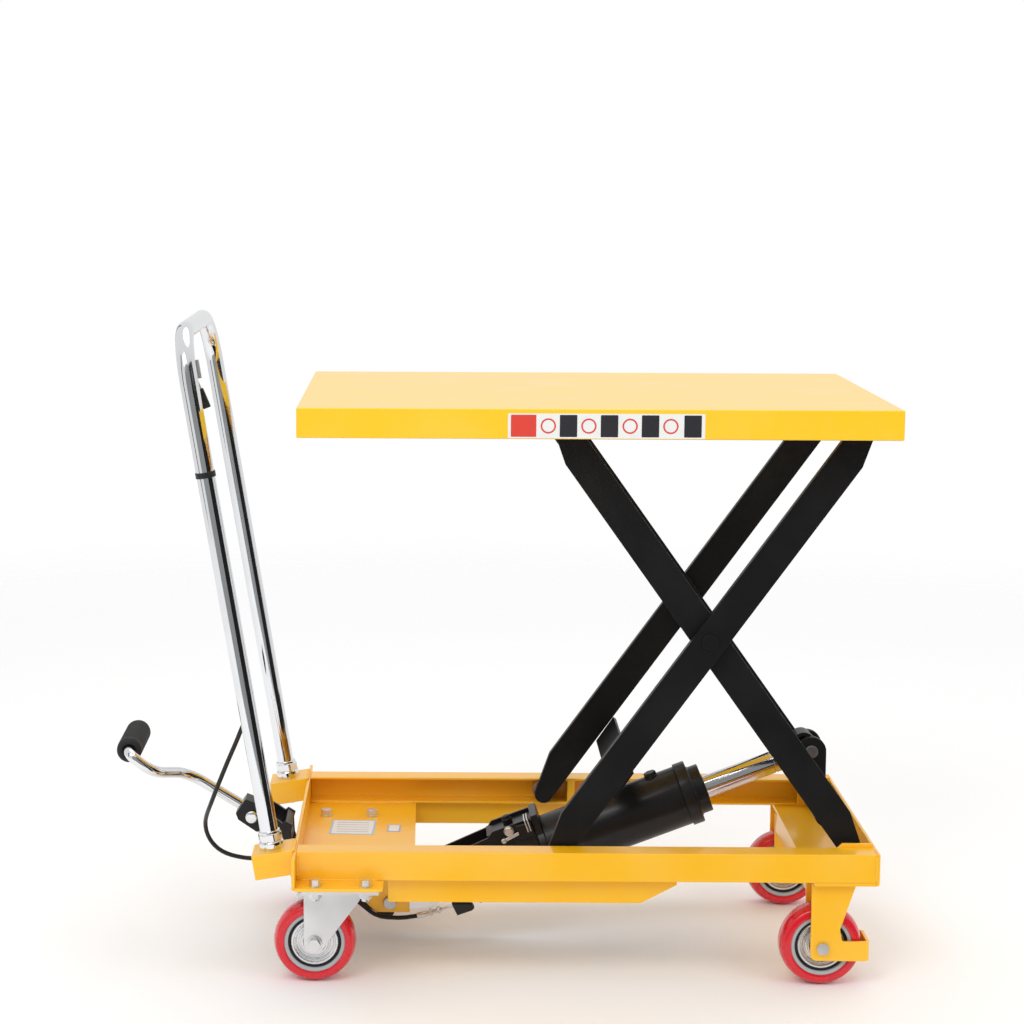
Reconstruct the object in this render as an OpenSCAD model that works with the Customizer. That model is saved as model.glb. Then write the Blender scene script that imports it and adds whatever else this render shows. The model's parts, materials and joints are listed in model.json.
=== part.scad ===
// Scissor lift table: a wheeled base frame, a single pair of scissor arms,
// a foot-pumped hydraulic cylinder and a folded sheet-metal table top.
// Millimetres, +Z up. The origin is on the floor, under the middle of the
// whole lift. The push handle is at -X and the fixed front wheels at +X.

/* [Table] */
// Length of the table top
table_l = 700; // [660:10:760]
// Width of the table top
table_w = 450; // [440:5:500]
// Depth of the folded edge round the table top
table_skirt = 35; // [34:1:45]
// Thickness of the table sheet
table_sheet = 2.5; // [2:0.5:3]

/* [Lift] */
// Distance between the two end pins of a scissor arm
arm_len = 650.8; // [640:0.1:660]
// Angle of the arms above level, in the modelled raised position
arm_angle = 55.7; // [45:0.1:57]
// Width of the flat arm bar
arm_w = 38.5; // [36:0.5:42]
// Thickness of the flat arm bar
arm_t = 10; // [8:1:10]
// How far each end pin sits off the bar's centre line
pin_offset = 7.5; // [5:0.5:8]

/* [Base frame] */
// Distance across the outside of the two side rails
frame_w = 362; // [356:2:366]
// Height of a side rail
rail_h = 35.2; // [35:0.1:36]
// Height of the underside of the side rails above the floor
rail_z = 134.2; // [132:0.1:140]
// Thickness of the frame's plates
plate_t = 4; // [3:0.5:4]

/* [Wheels] */
// Diameter of all four wheels
wheel_d = 100; // [96:1:100]
// Width of a tyre
tyre_w = 34; // [28:1:34]
// Trail of the swivel casters: how far the axle sits behind the swivel axis
caster_trail = 33; // [28:1:35]

/* [Handle] */
// Backward lean of the handle from upright
handle_lean = 9.6; // [6:0.1:10]
// Distance between the centre lines of the two handle legs
handle_w = 320; // [300:2:324]
// Outside diameter of the handle tube
handle_d = 22; // [20:1:25]
// Length of the handle legs up to the cross bar's centre line
handle_h = 630; // [560:2:640]

/* [Cylinder] */
// Outside diameter of the cylinder's barrel
barrel_d = 76; // [70:1:78]
// Diameter of the ram
ram_d = 28; // [24:1:28]

/* [Hidden] */
$fn = 64;
eps = 0.01;
run_fit = 0.05; // radial clearance of a turning pin in its bore

// Colours
yellow = "gold";
black = [0.12, 0.12, 0.12];
chrome = "gainsboro";
zinc = "silver";
red = "crimson";

// Table heights
table_x1 = table_l / 2;
arm_rise = arm_len * sin(arm_angle);
arm_run = arm_len * cos(arm_angle);

// Scissor pins, in the table-centred frame: x from the middle of the table
rail_mid_z = rail_z + rail_h / 2;
fixed_x = 325.4; // both fixed pins are above one another near the front end
base_pin = [fixed_x, rail_mid_z];
top_pin = [fixed_x, rail_mid_z + arm_rise];
base_roller_at = [fixed_x - arm_run, rail_mid_z];
table_roller_at = [fixed_x - arm_run, rail_mid_z + arm_rise];
scissor_at = [fixed_x - arm_run / 2, rail_mid_z + arm_rise / 2];
pin_to_table_top = 20.6;
table_z1 = top_pin[1] + pin_to_table_top; // top face of the table
table_z0 = table_z1 - table_skirt;
pan_z = table_z1 - table_sheet; // underside of the table sheet

// Scissor arms
arm_gap = 2; // washer between the inner and the outer arm
outer_y = 135; // inner face of an outer arm
inner_y = outer_y - arm_gap - arm_t; // inner face of an inner arm
arm_end_r = arm_w / 2 - pin_offset;
arm_bevel = 50;
arm_half = sqrt(pow(arm_len / 2, 2) - pow(pin_offset, 2));
arm_skew = asin(pin_offset / (arm_len / 2));
pin_r = 8;
roller_pin_r = 7;

// Rollers
base_roller_r = 14;
table_roller_r = 12;
roller_rail_y = 148; // inner edge of the table's channels
table_channel_y = 171; // outer face of the table's channels

// Frame
rail_t = 3;
rail_flange = 30;
rail_x0 = -354;
rail_x1 = 343;
deck_z = rail_z - plate_t; // underside of the plates under the rails
deck_x1 = -212;
wing_x1 = -249;
wing_y = 214;
stop_x = -9;
bracket_y = 40;

// Wheels
wheel_r = wheel_d / 2;
caster_swivel = [-300, 147];
caster_wheel_x = caster_swivel[0] - caster_trail;
front_wheel = [282, 149];
axle_r = 6;
bolt_dx = 30; // half the caster bolt spacing along X
bolt_dy = 55; // half the caster bolt spacing along Y

// Handle
handle_base = [-384.1, 168];
handle_bend = 62;
stub_h = 30;
stub_w = 50;
nut_af = 30;
nut_h = 20;

// Cylinder: its axis passes below the lower pin and just below the pin in the lugs
low_pin = [-243.5, 61];
lug_pin_at = [288, 254.3];
cyl_angle = 21.1;
pin_w = 13; // height of the lower pin above the cylinder's axis
cyl_dir = [cos(cyl_angle), sin(cyl_angle)];
cyl_up = [-sin(cyl_angle), cos(cyl_angle)];
cyl_origin = low_pin - pin_w * cyl_up;
cyl_len = (lug_pin_at - cyl_origin) * cyl_dir;
lug_w = (lug_pin_at - cyl_origin) * cyl_up;
barrel_u0 = 212;
barrel_u1 = 394.3;
flange_d = 81;
flange_t = 15.5;
cap_d = 62;
cap_t = 14.5;
lug_in = 14.5; // inner face of a lug
lug_t = 8;
lug_r = 18.5;
tube_along = 60; // cross tube's distance from the base pin along the arm
tube_r = 15;
slot_from = [0.5, -0.9]; // near end of the slot in the ram's eye, from the rest place of the pin
slot_to = [-5.2, 11.1]; // far end of the slot, in the cylinder's frame
slot_r = pin_r + 1.2;
eye_r = 14;

// Pump
plunger_w = -3; // plunger's offset from the cylinder's axis
plunger_r = 6;
pump_u0 = 143; // rear end of the pump block
frame_y = 22; // inner face of a pump frame plate
frame_plate = 4;
yoke_y = 28; // inner face of a pedal lever plate
yoke_t = 5;
pusher_r = 4;
pusher_arm = 16; // distance from the lower pin to the pusher bar
pusher_at = [0, pin_w] - pusher_arm * [sin(26), cos(26)];

// Pedal
rod_r = 7;
grip_r = 16;
grip_at = [-572, 255.5];
grip_y = [-42, 60];
clamp_at = [-420, 163];

// The origin is midway between the pedal's far side and the table's front edge
table_x = -(grip_at[0] - grip_r + table_x1) / 2;

// ---- helpers ----

// Shifts the table-centred frame to the row's own frame
module placed() { translate([table_x, 0, 0]) children(); }

// The same piece on both sides of the X-Z plane
module both_sides() {
    children();
    mirror([0, 1, 0]) children();
}

// A plate or a bar with an outline in the X-Z plane, from y0 to y1
module xz_plate(y0, y1) {
    translate([0, y1, 0]) rotate([90, 0, 0]) linear_extrude(y1 - y0) children();
}

// A round bar along Y
module y_bar(at, r, y0, y1) {
    translate([at[0], y0, at[1]]) rotate([-90, 0, 0]) cylinder(r = r, h = y1 - y0);
}

// A round bar between two points
module bar_between(a, b, r) {
    d = b - a;
    translate(a)
        rotate([0, acos(d[2] / norm(d)), atan2(d[1], d[0])])
            cylinder(r = r, h = norm(d));
}

// A bent round bar through a list of points, with ball corners a touch larger than the bar
module bent_bar(points, r) {
    for (i = [0 : len(points) - 2]) bar_between(points[i], points[i + 1], r);
    for (i = [1 : len(points) - 2]) translate(points[i]) sphere(r = r + 0.1);
}

// A hexagon bar along Z, measured across its flats
module hex(af, h) { cylinder(r = af / sqrt(3), h = h, $fn = 6); }

// The cylinder's frame: +X along the ram, +Z square to it, origin square below the lower pin
module cylinder_frame() {
    translate([cyl_origin[0], 0, cyl_origin[1]]) rotate([0, -cyl_angle, 0]) children();
}

// The handle's frame: +Z up along the legs
module handle_frame() {
    translate([handle_base[0], 0, handle_base[1]]) rotate([0, -handle_lean, 0]) children();
}

// Where a line from point q touches a circle at c; side is 1 or -1
function touch(q, c, r, side) =
    let (d = q - c, a = atan2(d[1], d[0]) + side * acos(r / norm(d)))
        c + r * [cos(a), sin(a)];

// Outline of a scissor arm along X: straight bar, offset round ends, one bevel at each end
module arm_outline() {
    high = [arm_half, pin_offset];
    low = [-arm_half, -pin_offset];
    half = arm_w / 2;
    high_bevel = [arm_half - arm_bevel, -half];
    low_bevel = [arm_bevel - arm_half, half];
    polygon([
        [-arm_half, -half], high_bevel, touch(high_bevel, high, arm_end_r, 1), high,
        [arm_half, half], low_bevel, touch(low_bevel, low, arm_end_r, 1), low
    ]);
    translate(high) circle(r = arm_end_r);
    translate(low) circle(r = arm_end_r);
}

// A scissor arm in place: dir is 1 for the outer arms and -1 for the inner arms
module arm_bar(dir, y0) {
    translate([scissor_at[0], 0, scissor_at[1]])
        mirror([dir < 0 ? 1 : 0, 0, 0])
            xz_plate(y0, y0 + arm_t) rotate(arm_angle - arm_skew) arm_outline();
}

// ---- base frame ----

module side_rails() {
    color(yellow) placed() both_sides() {
        difference() {
            translate([rail_x0, frame_w / 2 - rail_flange, rail_z])
                cube([rail_x1 - rail_x0, rail_flange, rail_h]);
            translate([rail_x0 - 1, frame_w / 2 - rail_flange - 1, rail_z + rail_t])
                cube([rail_x1 - rail_x0 + 2, rail_flange - rail_t + 1, rail_h - 2 * rail_t]);
        }
        // stop block for the base roller, welded inside the rail
        translate([stop_x, frame_w / 2 - rail_flange, rail_z + rail_t])
            cube([10, rail_flange - rail_t, rail_h - 2 * rail_t]);
    }
}

// Outline of a plate with its two lower corners rounded, centred on x
module skirted_outline(w, h, r) {
    translate([-w / 2, r]) square([w, h - r]);
    translate([r - w / 2, 0]) square([w - 2 * r, r]);
    for (s = [-1, 1]) translate([s * (w / 2 - r), r]) circle(r = r);
}

module rear_end_plate() {
    color(yellow) placed()
        translate([rail_x0 - plate_t, 0, deck_z])
            rotate([90, 0, 90]) linear_extrude(plate_t)
                skirted_outline(2 * wing_y, rail_h + plate_t, 6);
}

module front_end_plate() {
    color(yellow) placed()
        translate([rail_x1, 0, rail_z - 5])
            rotate([90, 0, 90]) linear_extrude(plate_t)
                skirted_outline(frame_w, rail_h + 5, 5);
}

module caster_holes(r, z0, z1) {
    for (sx = [-1, 1], sy = [-1, 1])
        translate([caster_swivel[0] + sx * bolt_dx, caster_swivel[1] + sy * bolt_dy, z0])
            cylinder(r = r, h = z1 - z0);
}

module rear_deck() {
    color(yellow) placed() difference() {
        union() {
            translate([rail_x0, -160, deck_z]) cube([deck_x1 - rail_x0, 320, plate_t]);
            translate([rail_x0, -wing_y, deck_z])
                cube([wing_x1 - rail_x0 - 8, 2 * wing_y, plate_t]);
            translate([rail_x0, 8 - wing_y, deck_z])
                cube([wing_x1 - rail_x0, 2 * (wing_y - 8), plate_t]);
            for (s = [-1, 1])
                translate([wing_x1 - 8, s * (wing_y - 8), deck_z])
                    cylinder(r = 8, h = plate_t);
        }
        both_sides() caster_holes(5, deck_z - 1, deck_z + plate_t + 1);
    }
}

module front_cross_channel() {
    lip = 27;
    lip_y = front_wheel[1] - tyre_w / 2 - 2 - plate_t; // between the wheel brackets
    color(yellow) placed() {
        translate([269, -frame_w / 2, deck_z])
            cube([rail_x1 - 269, frame_w, plate_t]);
        xz_plate(-lip_y, lip_y)
            polygon([[269, rail_z], [273, deck_z], [272, rail_z - lip], [268, rail_z - lip]]);
    }
}

module rail_stiffeners() {
    color(yellow) placed() both_sides()
        xz_plate(163, 167)
            polygon([[-244, rail_z], [-244, 103], [62, 103], [105, 126], [105, rail_z]]);
}

module cylinder_bracket() {
    color(yellow) placed() both_sides() difference() {
        xz_plate(bracket_y - 2, bracket_y + 2)
            polygon([[-302, deck_z], [-302, 86], [-261, 47.7], [-218, 47.7], [-218, deck_z]]);
        y_bar(low_pin, pin_r, bracket_y - 3, bracket_y + 3);
    }
}

module handle_stubs() {
    stub_l = 26 + 2 * stub_h / 3;
    color(yellow) placed() both_sides() difference() {
        handle_frame()
            translate([-stub_l / 2 - 1, handle_w / 2 - stub_w / 2, -stub_h])
                cube([stub_l + 30, stub_w, stub_h]);
        // trimmed flush against the rear end plate
        translate([rail_x0 - plate_t, 0, 0]) cube([100, 400, 400]);
        handle_frame() translate([0, handle_w / 2, -stub_h - 1])
            cylinder(r = handle_d / 2, h = stub_h + 2);
    }
}

module front_wheel_brackets() {
    y_out = front_wheel[1] + tyre_w / 2 + 2;
    y_in = front_wheel[1] - tyre_w / 2 - 2;
    x0 = front_wheel[0] - 14.5;
    x1 = front_wheel[0] + wheel_r + 7.2;
    color(yellow) placed() both_sides() difference() {
        union() {
            xz_plate(y_out, y_out + plate_t) wheel_plate_outline(x0, x1);
            xz_plate(y_in - plate_t, y_in) wheel_plate_outline(x0, x1);
            // toe guard, bent round the front of the wheel
            translate([x1 - toe_l, (y_in + y_out) / 2, bracket_z0]) linear_extrude(toe_z1 - bracket_z0)
                difference() {
                    bent_outline(toe_l, y_out - y_in + 2 * plate_t, 6);
                    translate([-1, 0]) bent_outline(toe_l + 1 - plate_t, y_out - y_in, 2);
                }
        }
        y_bar([front_wheel[0], wheel_r], axle_r, y_in - 10, y_out + 10);
    }
}

bracket_z0 = 33.5;
toe_z1 = 58;
toe_l = 12; // length of the toe guard's bent ends

// A strip from x = 0 to x = l, centred on y, with its two far corners rounded
module bent_outline(l, w, r) {
    translate([0, -w / 2]) square([l - r, w]);
    translate([l - r - eps, r - w / 2]) square([r + eps, w - 2 * r]);
    for (s = [-1, 1]) translate([l - r, s * (w / 2 - r)]) circle(r = r);
}

// Side plate that carries a front wheel; its toe ends where the toe guard begins
module wheel_plate_outline(x0, x1) {
    corner = 8;
    polygon([
        [x0, deck_z], [x0, bracket_z0 + corner], [x0 + corner, bracket_z0], [x1 - toe_l, bracket_z0],
        [x1 - toe_l, toe_z1], [x1 - 32.5, toe_z1], [x1 - 34.5, 62], [x1 - 36.5, 73], [x1 - 18, deck_z]
    ]);
    translate([x0 + corner, bracket_z0 + corner]) circle(r = corner);
}

module arm_pivot_plates() {
    color(yellow) placed() both_sides() difference() {
        xz_plate(147, 151) polygon([[300, rail_z], [300, 168], [306, 174], [rail_x1, 174], [rail_x1, rail_z]]);
        y_bar(base_pin, pin_r, 140, 160);
    }
}

module arm_pivot_pins() {
    color(zinc) placed() both_sides() {
        y_bar(base_pin, pin_r, inner_y - 1, 155);
        y_bar(base_pin, pin_r + 5, inner_y + arm_t + 0.5, 147);
        y_bar(base_pin, pin_r + 3, inner_y - 3.5, inner_y - 0.5);
    }
}

module cylinder_pin() {
    color(chrome) placed() {
        y_bar(low_pin, pin_r, -bracket_y - 8, bracket_y + 8);
        both_sides() y_bar(low_pin, pin_r + 2, yoke_y + yoke_t + 1, bracket_y - 2);
    }
}

// ---- handle ----

module handle_path(r) {
    leg_top = handle_h - handle_bend;
    for (s = [-1, 1]) {
        translate([0, s * handle_w / 2, -stub_h - 4]) cylinder(r = r, h = leg_top + stub_h + 4);
        translate([0, s * (handle_w / 2 - handle_bend), leg_top])
            rotate([90, 0, s > 0 ? 90 : -90])
                rotate_extrude(angle = 90) translate([handle_bend, 0]) circle(r = r);
    }
    translate([0, handle_bend - handle_w / 2, handle_h])
        rotate([-90, 0, 0]) cylinder(r = r, h = handle_w - 2 * handle_bend);
}

module handle_tube() {
    color(chrome) placed() handle_frame() difference() {
        handle_path(handle_d / 2);
        handle_path(handle_d / 2 - 1.5);
    }
}

module handle_nuts() {
    color(chrome) placed() handle_frame() both_sides()
        translate([0, handle_w / 2, 0]) difference() {
            intersection() {
                hex(nut_af, nut_h);
                // turned chamfers on the nut's corners
                union() {
                    cylinder(r1 = 15.5, r2 = 18, h = 3);
                    translate([0, 0, 3]) cylinder(r = 18, h = nut_h - 7);
                    translate([0, 0, nut_h - 4]) cylinder(r1 = 18, r2 = 15, h = 4);
                }
            }
            translate([0, 0, -1]) cylinder(r = handle_d / 2, h = nut_h + 2);
        }
}

// ---- casters and front wheels ----

module caster_plates() {
    z1 = deck_z;
    color(zinc) placed() both_sides() {
        difference() {
            union() {
                translate([caster_swivel[0] - 46, caster_swivel[1] - 66, z1 - 4]) cube([92, 132, 4]);
                // upper race of the swivel bearing
                translate([caster_swivel[0], caster_swivel[1], z1 - 10]) cylinder(r = 30, h = 6 + eps);
                // king pin, headed under the fork
                translate([caster_swivel[0], caster_swivel[1], z1 - 24]) cylinder(r = 7, h = 16);
                translate([caster_swivel[0], caster_swivel[1], z1 - 28]) cylinder(r = 11, h = 4.5);
            }
            caster_holes(5, z1 - 5, z1 + 1);
        }
    }
}

module caster_bolts() {
    color(zinc) placed() both_sides()
        for (sx = [-1, 1], sy = [-1, 1])
            translate([caster_swivel[0] + sx * bolt_dx, caster_swivel[1] + sy * bolt_dy, 0]) {
                translate([0, 0, deck_z - 14]) cylinder(r = 4.8, h = 14 + plate_t + 4);
                translate([0, 0, rail_z]) cylinder(r = 8, h = 1.5);
                translate([0, 0, rail_z + 1.5]) hex(13, 7);
                translate([0, 0, deck_z - 4 - 7]) hex(13, 7);
            }
}

// Fork of a caster: crown with the lower race and two cheeks down to the axle
module caster_fork() {
    crown_z = deck_z - 16;
    cheek_y = tyre_w / 2 + 3;
    translate([caster_swivel[0], caster_swivel[1], 0]) {
        difference() {
            union() {
                translate([0, 0, crown_z]) cylinder(r = 32, h = 5.8);
                translate([-44, -cheek_y - 3, crown_z - 4]) cube([66, 2 * cheek_y + 6, 4 + eps]);
                for (s = [-1, 1])
                    translate([0, s < 0 ? 0 : 2 * cheek_y + 3, 0])
                        xz_plate(-cheek_y - 3, -cheek_y) fork_outline(crown_z);
            }
            translate([0, 0, crown_z - 10]) cylinder(r = 7 + run_fit, h = 30);
            y_bar([-caster_trail, wheel_r], axle_r, -40, 40);
        }
    }
}

// Cheek of a caster fork, in the X-Z plane about the swivel axis
module fork_outline(top) {
    hub = [-caster_trail, wheel_r];
    left = -caster_trail - 13;
    polygon([
        [left, top], [left, wheel_r], hub, touch([8, 84], hub, 13, -1), [8, 84], [22, top - 10], [22, top]
    ]);
    translate(hub) circle(r = 13);
}

module caster_fork_left() { color(zinc) placed() caster_fork(); }
module caster_fork_right() { color(zinc) placed() mirror([0, 1, 0]) caster_fork(); }

module axle_bolt(at, y, half) {
    y_bar(at, axle_r, y - half, y + half);
    translate([at[0], y + half, at[1]]) rotate([-90, 0, 0]) hex(14, 5);
    translate([at[0], y - half, at[1]]) rotate([90, 0, 0]) hex(14, 5);
}

module caster_axle() {
    axle_bolt([caster_wheel_x, wheel_r], caster_swivel[1], tyre_w / 2 + 6);
}

module caster_axle_left() { color(zinc) placed() caster_axle(); }
module caster_axle_right() { color(zinc) placed() mirror([0, 1, 0]) caster_axle(); }

module front_axles() {
    color(zinc) placed() both_sides()
        axle_bolt([front_wheel[0], wheel_r], front_wheel[1], tyre_w / 2 + 2 + plate_t);
}

rim_r = 37;
groove_r = 32.6;
disc_r = 28.6;

// Tyre cast on the rim, with rounded shoulders
module tyre(at) {
    half = tyre_w / 2;
    translate([at[0], at[1], wheel_r]) rotate([-90, 0, 0])
        rotate_extrude() {
            difference() {
                translate([rim_r, -half]) square([wheel_r - rim_r, tyre_w]);
                for (s = [-1, 1]) translate([wheel_r - 4, s * (half - 4)]) shoulder_cut(s);
            }
        }
}

module shoulder_cut(s) {
    difference() {
        translate([0, s > 0 ? 0 : -5]) square([5, 5]);
        circle(r = 4);
    }
}

// Rim, recessed web and hub with a bore for the axle
module hub(at) {
    translate([at[0], at[1], wheel_r]) rotate([-90, 0, 0])
        rotate_extrude() polygon([
            [axle_r + run_fit, -18.5], [15, -18.5], [15, -14], [disc_r, -14], [disc_r, -16],
            [rim_r, -16], [rim_r, 16], [disc_r, 16], [disc_r, 14], [15, 14], [15, 18.5],
            [axle_r + run_fit, 18.5]
        ]);
}

caster_hub_at = [caster_wheel_x, caster_swivel[1]];

module caster_tyre_left() { color(red) placed() tyre(caster_hub_at); }
module caster_tyre_right() { color(red) placed() mirror([0, 1, 0]) tyre(caster_hub_at); }
module caster_hub_left() { color(zinc) placed() hub(caster_hub_at); }
module caster_hub_right() { color(zinc) placed() mirror([0, 1, 0]) hub(caster_hub_at); }
module front_tyre_left() { color(red) placed() tyre(front_wheel); }
module front_tyre_right() { color(red) placed() mirror([0, 1, 0]) tyre(front_wheel); }
module front_hub_left() { color(zinc) placed() hub(front_wheel); }
module front_hub_right() { color(zinc) placed() mirror([0, 1, 0]) hub(front_wheel); }

// ---- scissor ----

// A flanged track roller on a pin along Y
module roller(at, r, y0, y1) {
    difference() {
        y_bar(at, r, y0, y1);
        y_bar(at, roller_pin_r + run_fit, y0 - 1, y1 + 1);
    }
}

module base_roller() { roller(base_roller_at, base_roller_r, 154, 174); }
module table_roller() { roller(table_roller_at, table_roller_r, 150, 166); }
module base_roller_left() { color(zinc) placed() base_roller(); }
module base_roller_right() { color(zinc) placed() mirror([0, 1, 0]) base_roller(); }
module table_roller_left() { color(zinc) placed() table_roller(); }
module table_roller_right() { color(zinc) placed() mirror([0, 1, 0]) table_roller(); }

module outer_arms() {
    color(black) placed() both_sides() {
        difference() {
            arm_bar(1, outer_y);
            y_bar(top_pin, pin_r + run_fit, outer_y - 1, outer_y + arm_t + 1);
            y_bar(scissor_at, pin_r, outer_y - 1, outer_y + arm_t + 1);
        }
        // roller pin, welded through the arm, and its shoulder
        y_bar(base_roller_at, roller_pin_r, outer_y - 1, 176);
        y_bar(base_roller_at, roller_pin_r + 2, outer_y + arm_t - eps, 153.5);
    }
}

module inner_arms() {
    color(black) placed() both_sides() {
        difference() {
            arm_bar(-1, inner_y);
            y_bar(base_pin, pin_r + run_fit, inner_y - 1, inner_y + arm_t + 1);
            y_bar(scissor_at, pin_r + run_fit, inner_y - 1, inner_y + arm_t + 1);
        }
        // roller pin, welded through the arm, and its shoulder
        y_bar(table_roller_at, roller_pin_r, inner_y - 1, 167.5);
        y_bar(table_roller_at, roller_pin_r + 2, inner_y + arm_t - eps, 149.5);
    }
}

module centre_bolts() {
    color(black) placed() both_sides() {
        y_bar(scissor_at, pin_r, inner_y - 7, outer_y + arm_t);
        y_bar(scissor_at, pin_r + 2, outer_y + arm_t, outer_y + arm_t + 2);
        y_bar(scissor_at, pin_r + 6, inner_y + arm_t + 0.2, outer_y);
        translate([scissor_at[0], inner_y - 0.3, scissor_at[1]]) rotate([90, 0, 0]) hex(19, 6);
    }
}

// Flat cross brace between the outer arms, near their lower ends
module cross_brace() {
    along = 120; // middle of the brace from the base roller, along the arm
    below = 15;  // how far its face sits below the line of the pins
    color(black) placed()
        translate([base_roller_at[0], -outer_y, base_roller_at[1]])
            rotate([0, -arm_angle, 0])
                translate([along - 20, 0, -below - 5]) cube([40, 2 * outer_y, 5]);
}

// Where the cross tube crosses the inner arm's centre line
arm_dir = [-cos(arm_angle), sin(arm_angle)];
tube_at = base_pin + tube_along * arm_dir;

module ram_lugs() {
    color(black) placed() {
        difference() {
            y_bar(tube_at, tube_r, -inner_y, inner_y);
            y_bar(tube_at, tube_r - 3, -inner_y - 1, inner_y + 1);
        }
        both_sides() difference() {
            xz_plate(lug_in, lug_in + lug_t) {
                translate(lug_pin_at) circle(r = lug_r);
                polygon([
                    lug_pin_at + [lug_r, 0], lug_pin_at + [-lug_r + 2, 0],
                    tube_at + [-tube_r + 2, 0], tube_at + [tube_r, 0], lug_pin_at + [lug_r, -34]
                ]);
            }
            y_bar(lug_pin_at, pin_r, lug_in - 1, lug_in + lug_t + 1);
            y_bar(tube_at, tube_r, lug_in - 1, lug_in + lug_t + 1);
        }
    }
}

module lug_pin() {
    color(chrome) placed() y_bar(lug_pin_at, pin_r, -lug_in - lug_t - 2, lug_in + lug_t + 2);
}

// ---- table ----

module table_top() {
    color(yellow) placed() difference() {
        translate([-table_x1, -table_w / 2, table_z0]) cube([table_l, table_w, table_skirt]);
        translate([table_sheet - table_x1, table_sheet - table_w / 2, table_z0 - 1])
            cube([table_l - 2 * table_sheet, table_w - 2 * table_sheet, table_skirt - table_sheet + 1]);
    }
}

module table_channels() {
    z_low = table_roller_at[1] - table_roller_r - 0.2;
    z_high = table_roller_at[1] + table_roller_r + 0.2;
    color(yellow) placed() both_sides() difference() {
        translate([-346, roller_rail_y, table_z0]) cube([331, table_channel_y - roller_rail_y, pan_z - table_z0]);
        translate([-347, roller_rail_y - 1, z_low])
            cube([333, table_channel_y - roller_rail_y - 2, z_high - z_low]);
    }
}

module table_brackets() {
    color(yellow) placed() both_sides() difference() {
        xz_plate(147, 152) polygon([[298, pan_z], [306, table_z0], [344, table_z0], [344, pan_z]]);
        y_bar(top_pin, pin_r, 146, 153);
    }
}

module table_pivot_pins() {
    color(zinc) placed() both_sides() {
        y_bar(top_pin, pin_r, outer_y - 0.5, 155);
        y_bar(top_pin, pin_r + 4, outer_y + arm_t + 0.3, 147);
    }
}

// ---- cylinder ----

module u_cylinder(u0, u1, r) {
    translate([u0, 0, 0]) rotate([0, 90, 0]) cylinder(r = r, h = u1 - u0);
}

filler_u = 364.5; // filler plug

module cylinder_barrel() {
    color(black) placed() cylinder_frame() difference() {
        union() {
            u_cylinder(barrel_u0, barrel_u1, barrel_d / 2);
            // boss for the filler plug
            translate([filler_u, 0, barrel_d / 2 - 4]) cylinder(r = 9, h = 5);
        }
        u_cylinder(barrel_u0 + 6, barrel_u1 + 1, barrel_d / 2 - 4);
    }
}

module gland_cap() {
    color(black) placed() cylinder_frame() difference() {
        union() {
            u_cylinder(barrel_u1, barrel_u1 + flange_t, flange_d / 2);
            u_cylinder(barrel_u1 + flange_t, barrel_u1 + flange_t + cap_t, cap_d / 2);
        }
        u_cylinder(barrel_u1 - 1, barrel_u1 + flange_t + cap_t + 1, ram_d / 2 + run_fit);
    }
}

module cylinder_fittings() {
    color(black) placed() cylinder_frame() {
        // filler plug
        translate([filler_u, 0, barrel_d / 2 + 1]) cylinder(r = 7.5, h = 4);
        // relief valve cap on the pump block
        translate([172.5, 0, 44]) cylinder(r = 6, h = 8.5);
        // clamping bolts on both sides of the pump block
        both_sides() translate([172, frame_y + frame_plate, 40]) rotate([-90, 0, 0]) hex(12, 5);
    }
}

// Pump body behind the barrel, with the plunger's bore
module pump_block() {
    color(black) placed() cylinder_frame() difference() {
        union() {
            translate([pump_u0, -frame_y, -34]) cube([barrel_u0 - pump_u0, 2 * frame_y, 78]);
            u_cylinder(barrel_u0 - 8, barrel_u0, barrel_d / 2 - 2);
        }
        translate([pump_u0 - 1, 0, plunger_w]) rotate([0, 90, 0])
            cylinder(r = plunger_r + run_fit, h = 40);
    }
}

// Two side plates from the lower pin to the pump block
module pump_frame() {
    color(black) placed() cylinder_frame() both_sides() difference() {
        xz_plate(frame_y, frame_y + frame_plate) {
            polygon([
                [6, -1], [56, -1], [106, -34], [202, -34], [202, 48], [152, 48], [144, 42], [81, 38], [-3, 24]
            ]);
            translate([0, pin_w]) circle(r = 11);
        }
        y_bar([0, pin_w], pin_r + run_fit, frame_y - 1, frame_y + frame_plate + 1);
    }
}

module ram_rod() {
    color(chrome) placed() cylinder_frame() difference() {
        u_cylinder(barrel_u0 + 100, neck_u, ram_d / 2);
        // wiper groove near the eye
        difference() {
            u_cylinder(515, 517, ram_d / 2 + 1);
            u_cylinder(514, 518, ram_d / 2 - 1);
        }
    }
}

neck_u = cyl_len - eye_r - 7; // where the rod ends and the eye's neck begins

// Slotted eye on the end of the ram, between the lugs
module ram_eye() {
    centre = [cyl_len, lug_w] + slot_from;
    far_end = [cyl_len, lug_w] + slot_to;
    side = [centre[1] - far_end[1], far_end[0] - centre[0]] / norm(far_end - centre);
    color(black) placed() cylinder_frame() difference() {
        xz_plate(0.5 - lug_in, lug_in - 0.5) {
            translate(centre) circle(r = eye_r);
            translate(far_end) circle(r = eye_r);
            polygon([
                centre + eye_r * side, centre - eye_r * side, far_end - eye_r * side, far_end + eye_r * side
            ]);
            translate([neck_u, -11]) square([eye_r, 22]);
        }
        y_bar(centre, slot_r, -20, 20);
        y_bar(far_end, slot_r, -20, 20);
        xz_plate(-20, 20) polygon([
            centre + slot_r * side, centre - slot_r * side, far_end - slot_r * side, far_end + slot_r * side
        ]);
    }
}

module pump_plunger() {
    u0 = pusher_at[0] + pusher_r + 0.5;
    color(chrome) placed() cylinder_frame()
        translate([u0, 0, plunger_w]) rotate([0, 90, 0]) cylinder(r = plunger_r, h = pump_u0 + 13 - u0);
}

// ---- pedal ----

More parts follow.
